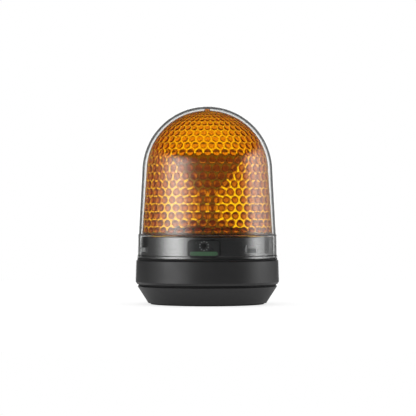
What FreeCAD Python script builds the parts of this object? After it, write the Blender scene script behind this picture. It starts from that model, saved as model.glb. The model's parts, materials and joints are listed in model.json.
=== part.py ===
"""A surface-mounted rotating beacon, 100 mm across and 138 mm high, as an assembly of separate pieces.

An upward-facing LED lamp stands in a fixed sleeve. A rotor runs round that sleeve on a bush and carries
a V of two mirrors over the lamp, which turn its light into two level beams. A can motor under the deck
drives the rotor through a compound idler. A clear globe with an amber lens inside it covers the works
and locks to the housing with a three-lug bayonet.

Frame: millimetres, origin at the centre of the seating face, +Z up, and the function badge faces -Y.
Angles are in degrees from +X.
"""

import FreeCAD, Part

import math
import os
import re

import Sketcher

from FreeCAD import Placement, Rotation, Vector

# Driving dimensions, in millimetres and degrees. Each becomes a cell of the document's spreadsheet.
DIMENSIONS = {
    # seating and foot
    "gasket_depth": 1.4, "gasket_groove_depth": 0.6, "gasket_inner": 36.9, "gasket_outer": 39.5,
    "foot_bottom": 0.8, "foot_radius": 41.2, "foot_rim_radius": 48.6, "foot_rim_height": 12.9,
    "floor_thickness": 2.5, "foot_wall": 2.6, "spigot_radius": 47.0, "spigot_top": 17.0,
    "seal_wire": 0.53,
    # panel fixings, case screws and cable entry
    "fixing_circle": 60.0, "insert_radius": 3.2, "insert_thread": 2.1, "insert_length": 8.5,
    "insert_boss": 4.6, "insert_boss_top": 11.0,
    "case_screw_circle": 66.0, "case_post": 4.4, "case_post_top": 7.6, "case_boss": 3.4,
    "grommet_hole": 8.0, "cable_bore": 3.5, "grommet_bottom": 0.2, "grommet_top": 8.0,
    # housing
    "housing_radius": 50.0, "housing_bottom": 14.0, "housing_top": 30.8, "housing_inner": 47.3,
    "housing_draft": 0.5, "bevel_height": 1.6, "bevel_depth": 1.1, "top_chamfer": 0.6,
    "shoulder_bottom": 28.3, "collar_radius": 46.2, "collar_inner": 43.0, "collar_top": 47.0,
    # bayonet
    "channel_floor": 44.6, "channel_bottom": 35.7, "channel_top": 39.7, "lug_play": 0.5,
    "lug_inner": 45.1, "lug_span": 10.0, "slot_play": 1.5, "twist": 18.0,
    # globe and signal lens
    "lip_radius": 49.3, "lip_bottom": 32.1, "lip_height": 1.7, "skirt_radius": 48.7, "skirt_top": 47.9,
    "skirt_inner": 46.9, "wall_radius": 48.35, "step_height": 48.8, "wall_inner": 46.45,
    "globe_radius": 45.95, "globe_centre": 92.1, "globe_wall": 1.8,
    "lens_bottom": 47.6, "lens_flange": 46.8, "lens_base_radius": 45.4, "lens_base_inner": 43.4,
    "lens_radius": 42.5, "lens_centre": 92.4, "lens_wall": 2.0, "pip_radius": 2.0,
    # badge on the collar
    "badge_width": 21.6, "badge_bottom": 33.4, "badge_top": 45.0, "badge_corner": 2.0, "badge_thickness": 0.3,
    # deck and bearing
    "deck_radius": 42.6, "deck_bottom": 41.5, "deck_top": 44.0, "deck_screw_circle": 79.0, "deck_boss": 3.4,
    "sleeve_radius": 13.0, "sleeve_inner": 11.5, "sleeve_top": 55.2, "sleeve_flange": 17.0,
    "sleeve_flange_top": 45.4, "washer_top": 46.0, "running_play": 0.05,
    "bush_bottom": 46.1, "bush_top": 54.1, "bush_radius": 15.5, "bush_flange": 17.5, "bush_flange_top": 47.2,
    "clip_bottom": 54.25, "clip_top": 54.95, "clip_groove": 12.4, "clip_radius": 14.7,
    # lamp
    "sink_bottom": 30.0, "sink_core": 5.0, "sink_fin": 11.0, "sink_top": 46.5, "fin_count": 5.0,
    "board_thickness": 1.6, "lamp_board_radius": 10.8, "chip_side": 3.0, "chip_height": 0.8, "chip_circle": 9.0,
    "optic_bottom": 49.6, "optic_small": 5.5, "optic_large": 11.2, "optic_top": 57.2, "optic_flange": 12.8,
    # rotor
    "gear_bottom": 47.2, "gear_top": 51.2, "web_top": 49.6, "web_outer": 25.4, "rim_of_hub": 18.5,
    "plate_top": 53.2, "plate_radius": 25.0,
    "mirror_angle": 14.0, "mirror_ridge": 79.0, "mirror_top": 102.6, "mirror_half_width": 22.5,
    "mirror_half_depth": 16.5, "mirror_curve": 110.0, "mirror_thickness": 1.4, "mirror_back_curve": 111.4,
    "arm_thickness": 2.4, "arm_half_width": 2.0, "arm_foot": 6.0, "arm_shoulder": 60.0,
    "cap_thickness": 1.8, "cap_plug": 1.6, "rotor_screw_circle": 44.0,
    # gear train
    "train_angle": 57.0, "ring_module": 0.8, "ring_teeth": 72.0, "idler_pinion_teeth": 12.0,
    "wheel_module": 0.5, "wheel_teeth": 32.0, "motor_pinion_teeth": 10.0,
    "motor_circle": 62.0, "wheel_bottom": 44.6, "wheel_top": 46.7, "idler_pinion_top": 51.3,
    "pin_radius": 1.0, "pin_top": 52.2, "pin_collar": 2.0,
    # motor
    "motor_radius": 10.0, "motor_flat": 7.7, "motor_bottom": 26.5, "motor_boss": 3.0, "motor_boss_top": 42.6,
    "tab_reach": 7.0, "shaft_radius": 0.75, "shaft_bottom": 25.2, "shaft_top": 47.0, "motor_screw_circle": 13.0,
    # control board
    "board_bottom": 25.5, "board_radius": 29.0, "standoff_circle": 50.0, "standoff_radius": 3.0,
    # leads
    "lead_radius": 0.6, "lamp_lead_circle": 16.4, "lead_loop": 7.0,
}

FRONT = 270
INSERT_ANGLES = (30, 150, 270)
CASE_ANGLES = (90, 210, 330)
DECK_ANGLES = (30, 150, 270)
BAYONET_ANGLES = (90, 210, 330)
STANDOFF_ANGLES = (150, 240, 330)
LAMP_LEAD_ANGLES = (200, 216)
ROTOR_SCREW_ANGLES = (45, 165, 285)
TROUGH_MOUTH = "mirror_half_width - 5"
PRESSURE_ANGLE = math.radians(20)
X_AXIS, Y_AXIS = -1, -2

doc = FreeCAD.newDocument("RotatingBeacon")
pieces = {}


# ---------------------------------------------------------------------------------- sizes and helpers
def make_sheet():
    """The spreadsheet that holds the driving dimensions, each in a cell with its own alias."""
    sheet = doc.addObject("Spreadsheet::Sheet", "Sizes")
    for row, (name, number) in enumerate(DIMENSIONS.items(), start=1):
        sheet.set(f"A{row}", name)
        sheet.set(f"B{row}", str(number))
        sheet.setAlias(f"B{row}", name)
    doc.recompute()
    return sheet


def linked(expression):
    """The expression with each dimension's name turned into its spreadsheet cell."""
    words = re.compile(r"[a-z]\w*")
    return words.sub(lambda m: "Sizes." + m.group() if m.group() in DIMENSIONS else m.group(), str(expression))


def worth(expression):
    """The number that an expression over the spreadsheet comes to now."""
    return float(sheet.evalExpression(linked(expression)))


def bind(thing, **properties):
    """Binds properties of a document object to expressions over the spreadsheet."""
    for name, expression in properties.items():
        thing.setExpression(name, linked(expression))
    return thing


def place(thing, x=0, y=0, z=0, turn=0):
    """Puts an object at expressions for x, y and z, turned about the vertical by an expression."""
    thing.Placement = Placement(Vector(0, 0, 0), Rotation(Vector(0, 0, 1), 1))
    for axis, expression in (("x", x), ("y", y), ("z", z)):
        thing.setExpression("Placement.Base." + axis, linked(expression))
    thing.setExpression("Placement.Rotation.Angle", linked(turn))
    return thing


def polar(thing, radius, angle, z=0, turn=None):
    """Puts an object at a radius and angle round the beacon's axis, its own X pointing outward."""
    x = f"({radius}) * cos({angle})"
    y = f"({radius}) * sin({angle})"
    return place(thing, x, y, z, angle if turn is None else turn)


def cylinder(name, radius, height, z=0, x=0, y=0):
    """An upright cylinder that starts at z."""
    made = bind(doc.addObject("Part::Cylinder", name), Radius=radius, Height=height)
    return place(made, x, y, z)


def cone(name, lower, upper, height, z=0):
    """An upright cone frustum that starts at z."""
    made = bind(doc.addObject("Part::Cone", name), Radius1=lower, Radius2=upper, Height=height)
    return place(made, z=z)


def block(name, length, width, height, x=0, y=0, z=0):
    """A box centred on x and y that starts at z."""
    made = bind(doc.addObject("Part::Box", name), Length=length, Width=width, Height=height)
    return place(made, f"{x} - ({length}) / 2", f"{y} - ({width}) / 2", z)


def radial_block(name, inner, outer, width, height, angle, z):
    """A box that runs outward between two radii, centred on an angle."""
    made = bind(doc.addObject("Part::Box", name), Length=f"{outer} - ({inner})", Width=width, Height=height)
    x = f"({inner}) * cos({angle}) + ({width}) / 2 * sin({angle})"
    y = f"({inner}) * sin({angle}) - ({width}) / 2 * cos({angle})"
    return place(made, x, y, z, angle)


def arc_block(name, inner, outer, bottom, top, start, span):
    """A sector of a ring between two radii and two heights, from an angle through a span."""
    height = f"{top} - ({bottom})"
    sector = bind(doc.addObject("Part::Cylinder", name + "Sector"), Radius=outer, Height=height, Angle=span)
    place(sector, z=bottom, turn=start)
    middle = cylinder(name + "Middle", inner, f"{height} + 2", f"{bottom} - 1")
    return cut(name, sector, [middle])


def fuse(name, members):
    """One solid out of several that overlap or touch."""
    made = doc.addObject("Part::MultiFuse", name)
    made.Shapes = members
    made.Refine = True
    return made


def cut(name, base, tools):
    """The base with every tool taken out of it."""
    made = doc.addObject("Part::Cut", name)
    made.Base = base
    made.Tool = tools[0] if len(tools) == 1 else fuse(name + "Tools", tools)
    return made


def group(name, members):
    """Several separate solids that share one node."""
    made = doc.addObject("Part::Compound", name)
    made.Links = members
    return made


def finished(label, thing):
    """Names a finished piece. Its label is its node's name."""
    thing.Label = label
    pieces[label] = thing
    return thing


def sketch_on(body, role, name):
    """A sketch on one of a body's own origin planes."""
    plane = next(o for o in body.Origin.OriginFeatures if o.Role == role)
    sketch = body.newObject("Sketcher::SketchObject", name)
    sketch.AttachmentSupport = (plane, [""])
    sketch.MapMode = "FlatFace"
    return sketch


def pin_point(sketch, edge, end, x, y):
    """Holds a point of a sketch at expressions for x and y."""
    for kind, line, expression in (("DistanceX", Y_AXIS, x), ("DistanceY", X_AXIS, y)):
        if str(expression) == "0":
            sketch.addConstraint(Sketcher.Constraint("PointOnObject", edge, end, line))
        else:
            held = Sketcher.Constraint(kind, -1, 1, edge, end, worth(expression))
            index = sketch.addConstraint(held)
            sketch.setExpression(f"Constraints[{index}]", linked(expression))


def arc_through(start, end, centre):
    """An arc about a centre as Sketcher wants it, counterclockwise, and whether that runs from start to end."""
    first, second = ((p - centre) for p in (start, end))
    angles = [math.atan2(v.y, v.x) for v in (first, second)]
    forward = (angles[1] - angles[0]) % (2 * math.pi) < math.pi
    if not forward:
        angles.reverse()
    circle = Part.Circle(centre, Vector(0, 0, 1), first.Length)
    return Part.ArcOfCircle(circle, angles[0], angles[1]), forward


def draw_outline(sketch, corners):
    """A closed outline. Each corner is (x, y), or (x, y, bend) where the edge that leaves it is an arc.

    bend is "dome" for an arc centred on the sketch's vertical axis, or (radius, side) for an arc of that
    radius whose centre lies to the left of the edge where side is 1, and to its right where it is -1.
    """
    points = [Vector(worth(c[0]), worth(c[1]), 0) for c in corners]
    ends = []
    for i, corner in enumerate(corners):
        start, end = points[i], points[(i + 1) % len(points)]
        if len(corner) == 2:
            ends.append((sketch.addGeometry(Part.LineSegment(start, end), False), 1, 2))
            continue
        if corner[2] == "dome":
            rise = (end.y**2 - start.y**2 + end.x**2 - start.x**2) / (2 * (end.y - start.y))
            arc, forward = arc_through(start, end, Vector(0, rise, 0))
        else:
            radius, side = worth(corner[2][0]), corner[2][1]
            along = end - start
            left = Vector(-along.y, along.x, 0).normalize()
            reach = math.sqrt(radius**2 - along.Length**2 / 4)
            arc, forward = arc_through(start, end, (start + end) / 2 + left * (side * reach))
        edge = sketch.addGeometry(arc, False)
        ends.append((edge, 1, 2) if forward else (edge, 2, 1))
        if corner[2] == "dome":
            sketch.addConstraint(Sketcher.Constraint("PointOnObject", edge, 3, Y_AXIS))
        else:
            index = sketch.addConstraint(Sketcher.Constraint("Radius", edge, radius))
            sketch.setExpression(f"Constraints[{index}]", linked(corner[2][0]))
    for i, corner in enumerate(corners):
        before, here = ends[i - 1], ends[i]
        sketch.addConstraint(Sketcher.Constraint("Coincident", before[0], before[2], here[0], here[1]))
        pin_point(sketch, here[0], here[1], corner[0], corner[1])


def new_body(name):
    """An empty PartDesign body."""
    return doc.addObject("PartDesign::Body", name)


def revolved(name, corners):
    """A body turned from a half section, whose corners are (radius, height)."""
    body = new_body(name)
    sketch = sketch_on(body, "XZ_Plane", name + "Section")
    draw_outline(sketch, corners)
    turn = body.newObject("PartDesign::Revolution", name + "Turn")
    turn.Profile = sketch
    turn.ReferenceAxis = (sketch, ["V_Axis"])
    turn.Angle = 360
    sketch.Visibility = False
    return body


def prism(name, role, corners, length, midplane=False):
    """A body padded from an outline on one of its origin planes."""
    body = new_body(name)
    sketch = sketch_on(body, role, name + "Outline")
    draw_outline(sketch, corners)
    pad = body.newObject("PartDesign::Pad", name + "Pad")
    pad.Profile = sketch
    pad.Midplane = midplane
    bind(pad, Length=length)
    return body


def screw(name, head, head_height, shank, length, seat, pointing_down, radius, angle, about=(0, 0)):
    """A slotted pan-head screw whose head sits on a seat height. Its shank points down, or else up."""
    sign = 1 if pointing_down else -1
    head_bottom = seat if pointing_down else f"{seat} - {head_height}"
    shank_bottom = f"{seat} - {length}" if pointing_down else seat
    slot_bottom = f"{seat} + {sign * 0.55} * {head_height}" + ("" if pointing_down else f" - {head_height}")
    x = f"{about[0]} + ({radius}) * cos({angle})"
    y = f"{about[1]} + ({radius}) * sin({angle})"
    knob = cylinder(name + "Head", head, head_height, head_bottom, x, y)
    rod = cylinder(name + "Shank", shank, length, shank_bottom, x, y)
    slot = block(name + "Slot", f"2.2 * {head}", "0.6", head_height, x, y, slot_bottom)
    return cut(name, fuse(name + "Blank", [knob, rod]), [slot])


def screws(label, angles, radius, about=(0, 0), **form):
    """A ring of like screws as one node."""
    stem = "".join(word.capitalize() for word in label.split("_"))
    made = [
        screw(f"{stem}{n}", radius=radius, angle=angle, about=about, **form)
        for n, angle in enumerate(angles)
    ]
    return finished(label, group(stem, made))


def rings_of_holes(name, radius, bottom, top, circle_radius, angles, about=(0, 0)):
    """Cylinders for a ring of holes."""
    x, y = about
    return [
        cylinder(f"{name}{n}", radius, f"{top} - ({bottom})", bottom,
                 f"{x} + ({circle_radius}) * cos({angle})", f"{y} + ({circle_radius}) * sin({angle})")
        for n, angle in enumerate(angles)
    ]


# ------------------------------------------------------------------------------------------- the foot
def make_foot():
    """The conical foot: a dish with a lap spigot, three insert bosses, three screw posts and ribs."""
    floor_top = "foot_bottom + floor_thickness"
    groove_top = "foot_bottom + gasket_groove_depth"
    dish = revolved("FootDish", [
        ("grommet_hole", "foot_bottom"),
        ("gasket_inner", "foot_bottom"),
        ("gasket_inner", groove_top),
        ("gasket_outer", groove_top),
        ("gasket_outer", "foot_bottom"),
        ("foot_radius", "foot_bottom"),
        ("foot_rim_radius", "foot_rim_height - 0.6"),
        ("foot_rim_radius - 0.4", "foot_rim_height"),
        ("spigot_radius", "foot_rim_height"),
        ("spigot_radius", "spigot_top"),
        ("spigot_radius - 1.8", "spigot_top"),
        ("spigot_radius - 1.8", "foot_rim_height"),
        ("foot_radius - foot_wall + 0.6", floor_top),
        ("grommet_hole", floor_top),
    ])
    members = [dish]
    for n, angle in enumerate(INSERT_ANGLES):
        boss = cylinder(f"InsertBoss{n}", "insert_boss", f"insert_boss_top - ({floor_top}) + 0.2",
                        f"{floor_top} - 0.2")
        members.append(polar(boss, "fixing_circle / 2", angle, f"{floor_top} - 0.2"))
        members.append(radial_block(f"InsertRib{n}", "fixing_circle / 2 + 2", "41.5", "1.8", "5.5", angle,
                                    f"{floor_top} - 0.2"))
    for n, angle in enumerate(CASE_ANGLES):
        post = cylinder(f"CasePost{n}", "case_post", f"case_post_top - ({floor_top}) + 0.2")
        members.append(polar(post, "case_screw_circle / 2", angle, f"{floor_top} - 0.2"))
        members.append(radial_block(f"CaseRib{n}", "case_screw_circle / 2 + 2", "41", "1.8", "3.4", angle,
                                    f"{floor_top} - 0.2"))
    tools = rings_of_holes("InsertHole", "insert_radius", "foot_bottom - 1", "foot_bottom + insert_length",
                           "fixing_circle / 2", INSERT_ANGLES)
    tools += rings_of_holes("CaseHole", "1.6", "foot_bottom - 1", "case_post_top + 1",
                            "case_screw_circle / 2", CASE_ANGLES)
    tools += rings_of_holes("CaseCounterbore", "3.1", "foot_bottom - 1", "5.2",
                            "case_screw_circle / 2", CASE_ANGLES)
    finished("foot_cover", cut("FootCover", fuse("FootBlank", members), tools))

    gasket = revolved("FootGasket", [
        ("gasket_inner", "0"), ("gasket_outer", "0"),
        ("gasket_outer", "gasket_depth"), ("gasket_inner", "gasket_depth"),
    ])
    finished("mounting_gasket", gasket)


def make_inserts():
    """Three brass M5 inserts moulded into the foot, each with two knurled bands left as plain collars."""
    made = []
    for n, angle in enumerate(INSERT_ANGLES):
        x = f"fixing_circle / 2 * cos({angle})"
        y = f"fixing_circle / 2 * sin({angle})"
        outside = cylinder(f"InsertBody{n}", "insert_radius", "insert_length", "foot_bottom", x, y)
        waist = cut(f"InsertWaist{n}",
                    cylinder(f"WaistOuter{n}", "insert_radius + 1", "1.6", "4.2", x, y),
                    [cylinder(f"WaistInner{n}", "insert_radius - 0.5", "3", "3.5", x, y)])
        bore = cylinder(f"InsertBore{n}", "insert_thread", "insert_length + 2", "foot_bottom - 1", x, y)
        made.append(cut(f"Insert{n}", outside, [fuse(f"InsertTool{n}", [waist, bore])]))
    finished("mounting_inserts", group("MountingInserts", made))


def make_grommet():
    """The rubber cable grommet, snapped into the hole in the middle of the foot."""
    floor_top = "foot_bottom + floor_thickness"
    grommet = revolved("CableGrommet", [
        ("cable_bore", "grommet_bottom"),
        ("grommet_hole + 2", "grommet_bottom"),
        ("grommet_hole + 2", "foot_bottom"),
        ("grommet_hole", "foot_bottom"),
        ("grommet_hole", floor_top),
        ("grommet_hole + 1.8", floor_top),
        ("grommet_hole + 1.4", f"{floor_top} + 1.2"),
        ("cable_bore + 2.6", f"{floor_top} + 1.6"),
        ("cable_bore + 1.4", "grommet_top"),
        ("cable_bore", "grommet_top"),
    ])
    finished("cable_grommet", grommet)


# ---------------------------------------------------------------------------------------- the housing
def make_housing():
    """The housing: an outer band with draft, a shoulder, and the collar that the globe locks to."""
    shell = revolved("HousingShell", [
        ("housing_inner", "housing_bottom"),
        ("housing_radius - bevel_depth", "housing_bottom"),
        ("housing_radius", "housing_bottom + bevel_height"),
        ("housing_radius - housing_draft", "housing_top - top_chamfer"),
        ("housing_radius - housing_draft - top_chamfer", "housing_top"),
        ("collar_radius", "housing_top"),
        ("collar_radius", "collar_top - 0.5"),
        ("collar_radius - 0.5", "collar_top"),
        ("collar_inner", "collar_top"),
        ("collar_inner", "shoulder_bottom"),
        ("housing_inner", "shoulder_bottom"),
    ])
    members = [shell]
    for n, angle in enumerate(CASE_ANGLES):
        boss = cylinder(f"CaseBoss{n}", "case_boss", "shoulder_bottom - case_post_top")
        members.append(polar(boss, "case_screw_circle / 2", angle, "case_post_top"))
        members.append(radial_block(f"BossWeb{n}", "case_screw_circle / 2 + 2", "48", "2",
                                    "shoulder_bottom - 17.5", angle, "17.5"))
        members.append(radial_block(f"BossTie{n}", "case_screw_circle / 2 - 3", "44", "5",
                                    "2.5", angle, "shoulder_bottom"))
    for n, angle in enumerate(DECK_ANGLES):
        post = cylinder(f"DeckPost{n}", "deck_boss", "deck_bottom - shoulder_bottom")
        members.append(polar(post, "deck_screw_circle / 2", angle, "shoulder_bottom"))
        members.append(radial_block(f"PostTie{n}", "deck_screw_circle / 2", "collar_inner + 1", "5",
                                    "deck_bottom - shoulder_bottom", angle, "shoulder_bottom"))
    tools = rings_of_holes("CaseScrewHole", "1.25", "case_post_top - 1", "22",
                           "case_screw_circle / 2", CASE_ANGLES)
    tools += rings_of_holes("DeckScrewHole", "1.25", "32", "deck_bottom + 1",
                            "deck_screw_circle / 2", DECK_ANGLES)
    for n, angle in enumerate(BAYONET_ANGLES):
        half = "(lug_span / 2 + slot_play)"
        tools.append(arc_block(f"EntrySlot{n}", "channel_floor", "collar_radius + 2", "channel_bottom",
                               "collar_top + 1", f"{angle} - {half}", f"2 * {half}"))
        tools.append(arc_block(f"LockChannel{n}", "channel_floor", "collar_radius + 2", "channel_bottom",
                               "channel_top", f"{angle} - twist - {half}", f"twist + 2 * {half}"))
    finished("base_housing", cut("BaseHousing", fuse("HousingBlank", members), tools))


def make_seals():
    """The O-ring in the lap joint, and the flat ring that the globe's lip closes on."""
    ring = bind(doc.addObject("Part::Torus", "LapSeal"), Radius1="spigot_radius + seal_wire",
                Radius2="seal_wire")
    place(ring, z="(foot_rim_height + housing_bottom) / 2")
    finished("body_seal", ring)
    finished("globe_seal", revolved("GlobeSeal", [
        ("collar_radius + 0.1", "housing_top"),
        ("lip_radius - 0.7", "housing_top"),
        ("lip_radius - 0.5", "housing_top + 0.5"),
        ("lip_radius - 0.8", "lip_bottom"),
        ("collar_radius + 0.1", "lip_bottom"),
    ]))


def make_badge():
    """The function badge: a thin plate with rounded corners, wrapped round the front of the collar."""
    left, right = "-(badge_width / 2)", "badge_width / 2"
    inset = "badge_corner"
    turn = ("badge_corner", 1)
    face = prism("BadgeFace", "XZ_Plane", [
        (f"{left} + {inset}", "badge_bottom"),
        (f"{right} - {inset}", "badge_bottom", turn),
        (right, f"badge_bottom + {inset}"),
        (right, f"badge_top - {inset}", turn),
        (f"{right} - {inset}", "badge_top"),
        (f"{left} + {inset}", "badge_top", turn),
        (left, f"badge_top - {inset}"),
        (left, f"badge_bottom + {inset}", turn),
    ], "collar_radius + 5")
    skin = revolved("BadgeSkin", [
        ("collar_radius", "badge_bottom - 1"), ("collar_radius + badge_thickness", "badge_bottom - 1"),
        ("collar_radius + badge_thickness", "badge_top + 1"), ("collar_radius", "badge_top + 1"),
    ])
    badge = doc.addObject("Part::Common", "FunctionBadge")
    badge.Base = skin
    badge.Tool = face
    finished("function_badge", badge)


# ------------------------------------------------------------------------------------------ the globe
def make_globe():
    """The clear globe: a tapered wall under a hemisphere, a skirt with a rolled lip, and three lugs."""
    shell = revolved("GlobeShell", [
        ("skirt_inner", "lip_bottom"),
        ("lip_radius", "lip_bottom"),
        ("lip_radius", "lip_bottom + lip_height"),
        ("skirt_radius + 0.2", "lip_bottom + lip_height + 0.4"),
        ("skirt_radius", "skirt_top"),
        ("wall_radius", "skirt_top + 0.4"),
        ("globe_radius", "globe_centre", "dome"),
        ("0", "globe_centre + globe_radius"),
        ("0", "globe_centre + globe_radius - globe_wall", "dome"),
        ("globe_radius - globe_wall", "globe_centre"),
        ("wall_inner", "step_height"),
        ("skirt_inner", "step_height"),
    ])
    lugs = [
        arc_block(f"Lug{n}", "lug_inner", "skirt_inner + 0.4", "channel_bottom + lug_play",
                  "channel_top - lug_play", f"{angle} - twist - lug_span / 2", "lug_span")
        for n, angle in enumerate(BAYONET_ANGLES)
    ]
    finished("globe", fuse("Globe", [shell] + lugs))


def make_lens():
    """The amber signal lens, flanged under the globe's step, with a pip that steadies it at the top."""
    shell = revolved("LensShell", [
        ("lens_base_inner", "lens_bottom"),
        ("lens_flange", "lens_bottom"),
        ("lens_flange", "step_height"),
        ("lens_base_radius", "step_height"),
        ("lens_radius", "lens_centre", "dome"),
        ("0", "lens_centre + lens_radius"),
        ("0", "lens_centre + lens_radius - lens_wall", "dome"),
        ("lens_radius - lens_wall", "lens_centre"),
    ])
    pip = cylinder("LensPip", "pip_radius", "globe_centre + globe_radius - globe_wall - 0.1"
                   " - (lens_centre + lens_radius - 0.5)", "lens_centre + lens_radius - 0.5")
    finished("signal_lens", fuse("SignalLens", [shell, pip]))


# --------------------------------------------------------------------------------- the deck and bearing
def train_places():
    """Centres of the idler and the motor as expressions: the idler meshes with the ring gear, and the
    motor stands on its own circle at the wheel's centre distance from the idler."""
    idler_radius = worth("ring_module * (ring_teeth + idler_pinion_teeth) / 2")
    motor_radius = worth("motor_circle / 2")
    reach = worth("wheel_module * (wheel_teeth + motor_pinion_teeth) / 2")
    cosine = (idler_radius**2 + motor_radius**2 - reach**2) / (2 * idler_radius * motor_radius)
    idler_angle = worth("train_angle") + math.degrees(math.acos(cosine))
    idler = Vector(idler_radius, 0, 0)
    idler = Rotation(Vector(0, 0, 1), idler_angle).multVec(idler)
    motor = Rotation(Vector(0, 0, 1), worth("train_angle")).multVec(Vector(motor_radius, 0, 0))
    return idler, motor


def make_deck():
    """The deck that closes the collar and carries all the works, with standoffs for the control board."""
    plate = cylinder("DeckPlate", "deck_radius", "deck_top - deck_bottom", "deck_bottom")
    members = [plate]
    board_top = "board_bottom + board_thickness"
    for n, angle in enumerate(STANDOFF_ANGLES):
        standoff = cylinder(f"Standoff{n}", "standoff_radius", f"deck_bottom - ({board_top}) + 0.2")
        members.append(polar(standoff, "standoff_circle / 2", angle, board_top))
    tools = [
        cylinder("SleeveHole", "sleeve_radius", "5", "deck_bottom - 1"),
        cylinder("MotorBossHole", "motor_boss + 0.1", "5", "deck_bottom - 1", motor.x, motor.y),
        cylinder("IdlerPinHole", "pin_radius", "5", "deck_bottom - 1", idler.x, idler.y),
    ]
    tools += rings_of_holes("DeckFixing", "1.6", "deck_bottom - 1", "deck_top + 1",
                            "deck_screw_circle / 2", DECK_ANGLES)
    tools += rings_of_holes("BoardFixing", "1.0", f"{board_top} - 1", f"{board_top} + 8",
                            "standoff_circle / 2", STANDOFF_ANGLES)
    tools += rings_of_holes("MotorFixing", "1.1", "deck_bottom - 1", "deck_top + 1",
                            "motor_screw_circle / 2", motor_screw_angles, (motor.x, motor.y))
    finished("chassis_deck", cut("ChassisDeck", fuse("DeckBlank", members), tools))


def make_bearing():
    """The fixed sleeve that the rotor turns on, its thrust washer, and the snap ring that keeps it."""
    finished("bearing_sleeve", revolved("BearingSleeve", [
        ("sleeve_inner", "deck_bottom"),
        ("sleeve_radius", "deck_bottom"),
        ("sleeve_radius", "deck_top"),
        ("sleeve_flange", "deck_top"),
        ("sleeve_flange", "sleeve_flange_top"),
        ("sleeve_radius", "sleeve_flange_top"),
        ("sleeve_radius", "clip_bottom"),
        ("clip_groove", "clip_bottom"),
        ("clip_groove", "clip_top"),
        ("sleeve_radius", "clip_top"),
        ("sleeve_radius", "sleeve_top"),
        ("sleeve_inner", "sleeve_top"),
    ]))
    finished("thrust_washer", revolved("ThrustWasher", [
        ("sleeve_radius + 0.1", "sleeve_flange_top"), ("sleeve_flange", "sleeve_flange_top"),
        ("sleeve_flange", "washer_top"), ("sleeve_radius + 0.1", "washer_top"),
    ]))
    ring = revolved("SnapRingBlank", [
        ("clip_groove", "clip_bottom"), ("clip_radius", "clip_bottom"),
        ("clip_radius", "clip_top"), ("clip_groove", "clip_top"),
    ])
    gap = radial_block("SnapRingGap", "clip_groove - 2", "clip_radius + 2", "4", "3", FRONT, "clip_bottom - 1")
    finished("snap_ring", cut("SnapRing", ring, [gap]))


# ------------------------------------------------------------------------------------------- the lamp
def make_lamp():
    """The lamp: a turned heat sink with cooling fins, its board, five LED chips and the optic on top."""
    fins = int(worth("fin_count"))
    pitch = f"(deck_bottom - sink_bottom) / {fins}"
    section = [("0", "sink_bottom")]
    for n in range(fins):
        low = f"sink_bottom + {n} * {pitch}"
        section += [("sink_fin", low), ("sink_fin", f"{low} + 1.2"), ("sink_core", f"{low} + 1.2"),
                    ("sink_core", f"sink_bottom + {n + 1} * {pitch}")]
    section += [("sink_fin", "deck_bottom"), ("sink_fin", "sink_top"), ("0", "sink_top")]
    ways = rings_of_holes("LeadWay", "lead_radius + 0.25", "sink_bottom - 1", "sink_top + 1",
                          "lamp_lead_circle / 2", LAMP_LEAD_ANGLES)
    finished("heat_sink", cut("HeatSink", revolved("SinkTurned", section), ways))

    board_top = "sink_top + board_thickness"
    finished("lamp_board", cylinder("LampBoard", "lamp_board_radius", "board_thickness", "sink_top"))
    chips = [block("ChipMiddle", "chip_side", "chip_side", "chip_height", 0, 0, board_top)]
    for n, angle in enumerate((45, 135, 225, 315)):
        x, y = (f"chip_circle / 2 * {trig}({angle})" for trig in ("cos", "sin"))
        chips.append(block(f"Chip{n}", "chip_side", "chip_side", "chip_height", x, y, board_top))
    finished("lamp_chips", group("LampChips", chips))
    finished("lamp_optic", revolved("LampOptic", [
        ("0", "optic_bottom + 2.4"),
        ("optic_small - 1.5", "optic_bottom"),
        ("optic_small", "optic_bottom"),
        ("optic_large - 0.4", "sleeve_top"),
        ("optic_flange", "sleeve_top"),
        ("optic_flange", "sleeve_top + 1.1"),
        ("optic_large", "sleeve_top + 1.1", "dome"),
        ("0", "optic_top + 1.6"),
    ]))


# ------------------------------------------------------------------------------------------ the gears
def involute(radius, base):
    """The involute function of the pressure angle at a radius."""
    angle = math.acos(min(1.0, base / radius))
    return math.tan(angle) - angle


def gear_face(teeth, module, addendum, dedendum, backlash, toward):
    """A flat spur gear outline with involute flanks. One tooth is centred on the angle toward."""
    teeth = int(teeth)
    pitch = module * teeth / 2
    base = pitch * math.cos(PRESSURE_ANGLE)
    tip, root = pitch + addendum * module, pitch - dedendum * module
    half_tooth = math.pi / (2 * teeth) - backlash / (2 * pitch)
    lowest = max(base, root)
    flank = [lowest + (tip - lowest) * (n / 3) for n in range(4)]
    half_angles = [half_tooth + involute(pitch, base) - involute(r, base) for r in flank]
    profile = [(root, half_angles[0])] if root < lowest else []
    profile += list(zip(flank, half_angles))
    points = []
    for n in range(teeth):
        middle = math.radians(toward) + 2 * math.pi * n / teeth
        rising = [(r, middle - a) for r, a in profile]
        falling = [(r, middle + a) for r, a in reversed(profile)]
        points += [Vector(r * math.cos(a), r * math.sin(a), 0) for r, a in rising + falling]
    return Part.Face(Part.makePolygon(points + points[:1]))


def gear_blank(name, face, bottom, top, centre):
    """A toothed blank between two heights, standing on a centre."""
    blank = doc.addObject("Part::Feature", name)
    blank.Shape = face.extrude(Vector(0, 0, worth(top) - worth(bottom)))
    blank.Placement = Placement(Vector(centre.x, centre.y, worth(bottom)), Rotation())
    return blank


def direction(start, end):
    """The angle in degrees from one centre to another."""
    return math.degrees(math.atan2(end.y - start.y, end.x - start.x))


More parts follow.
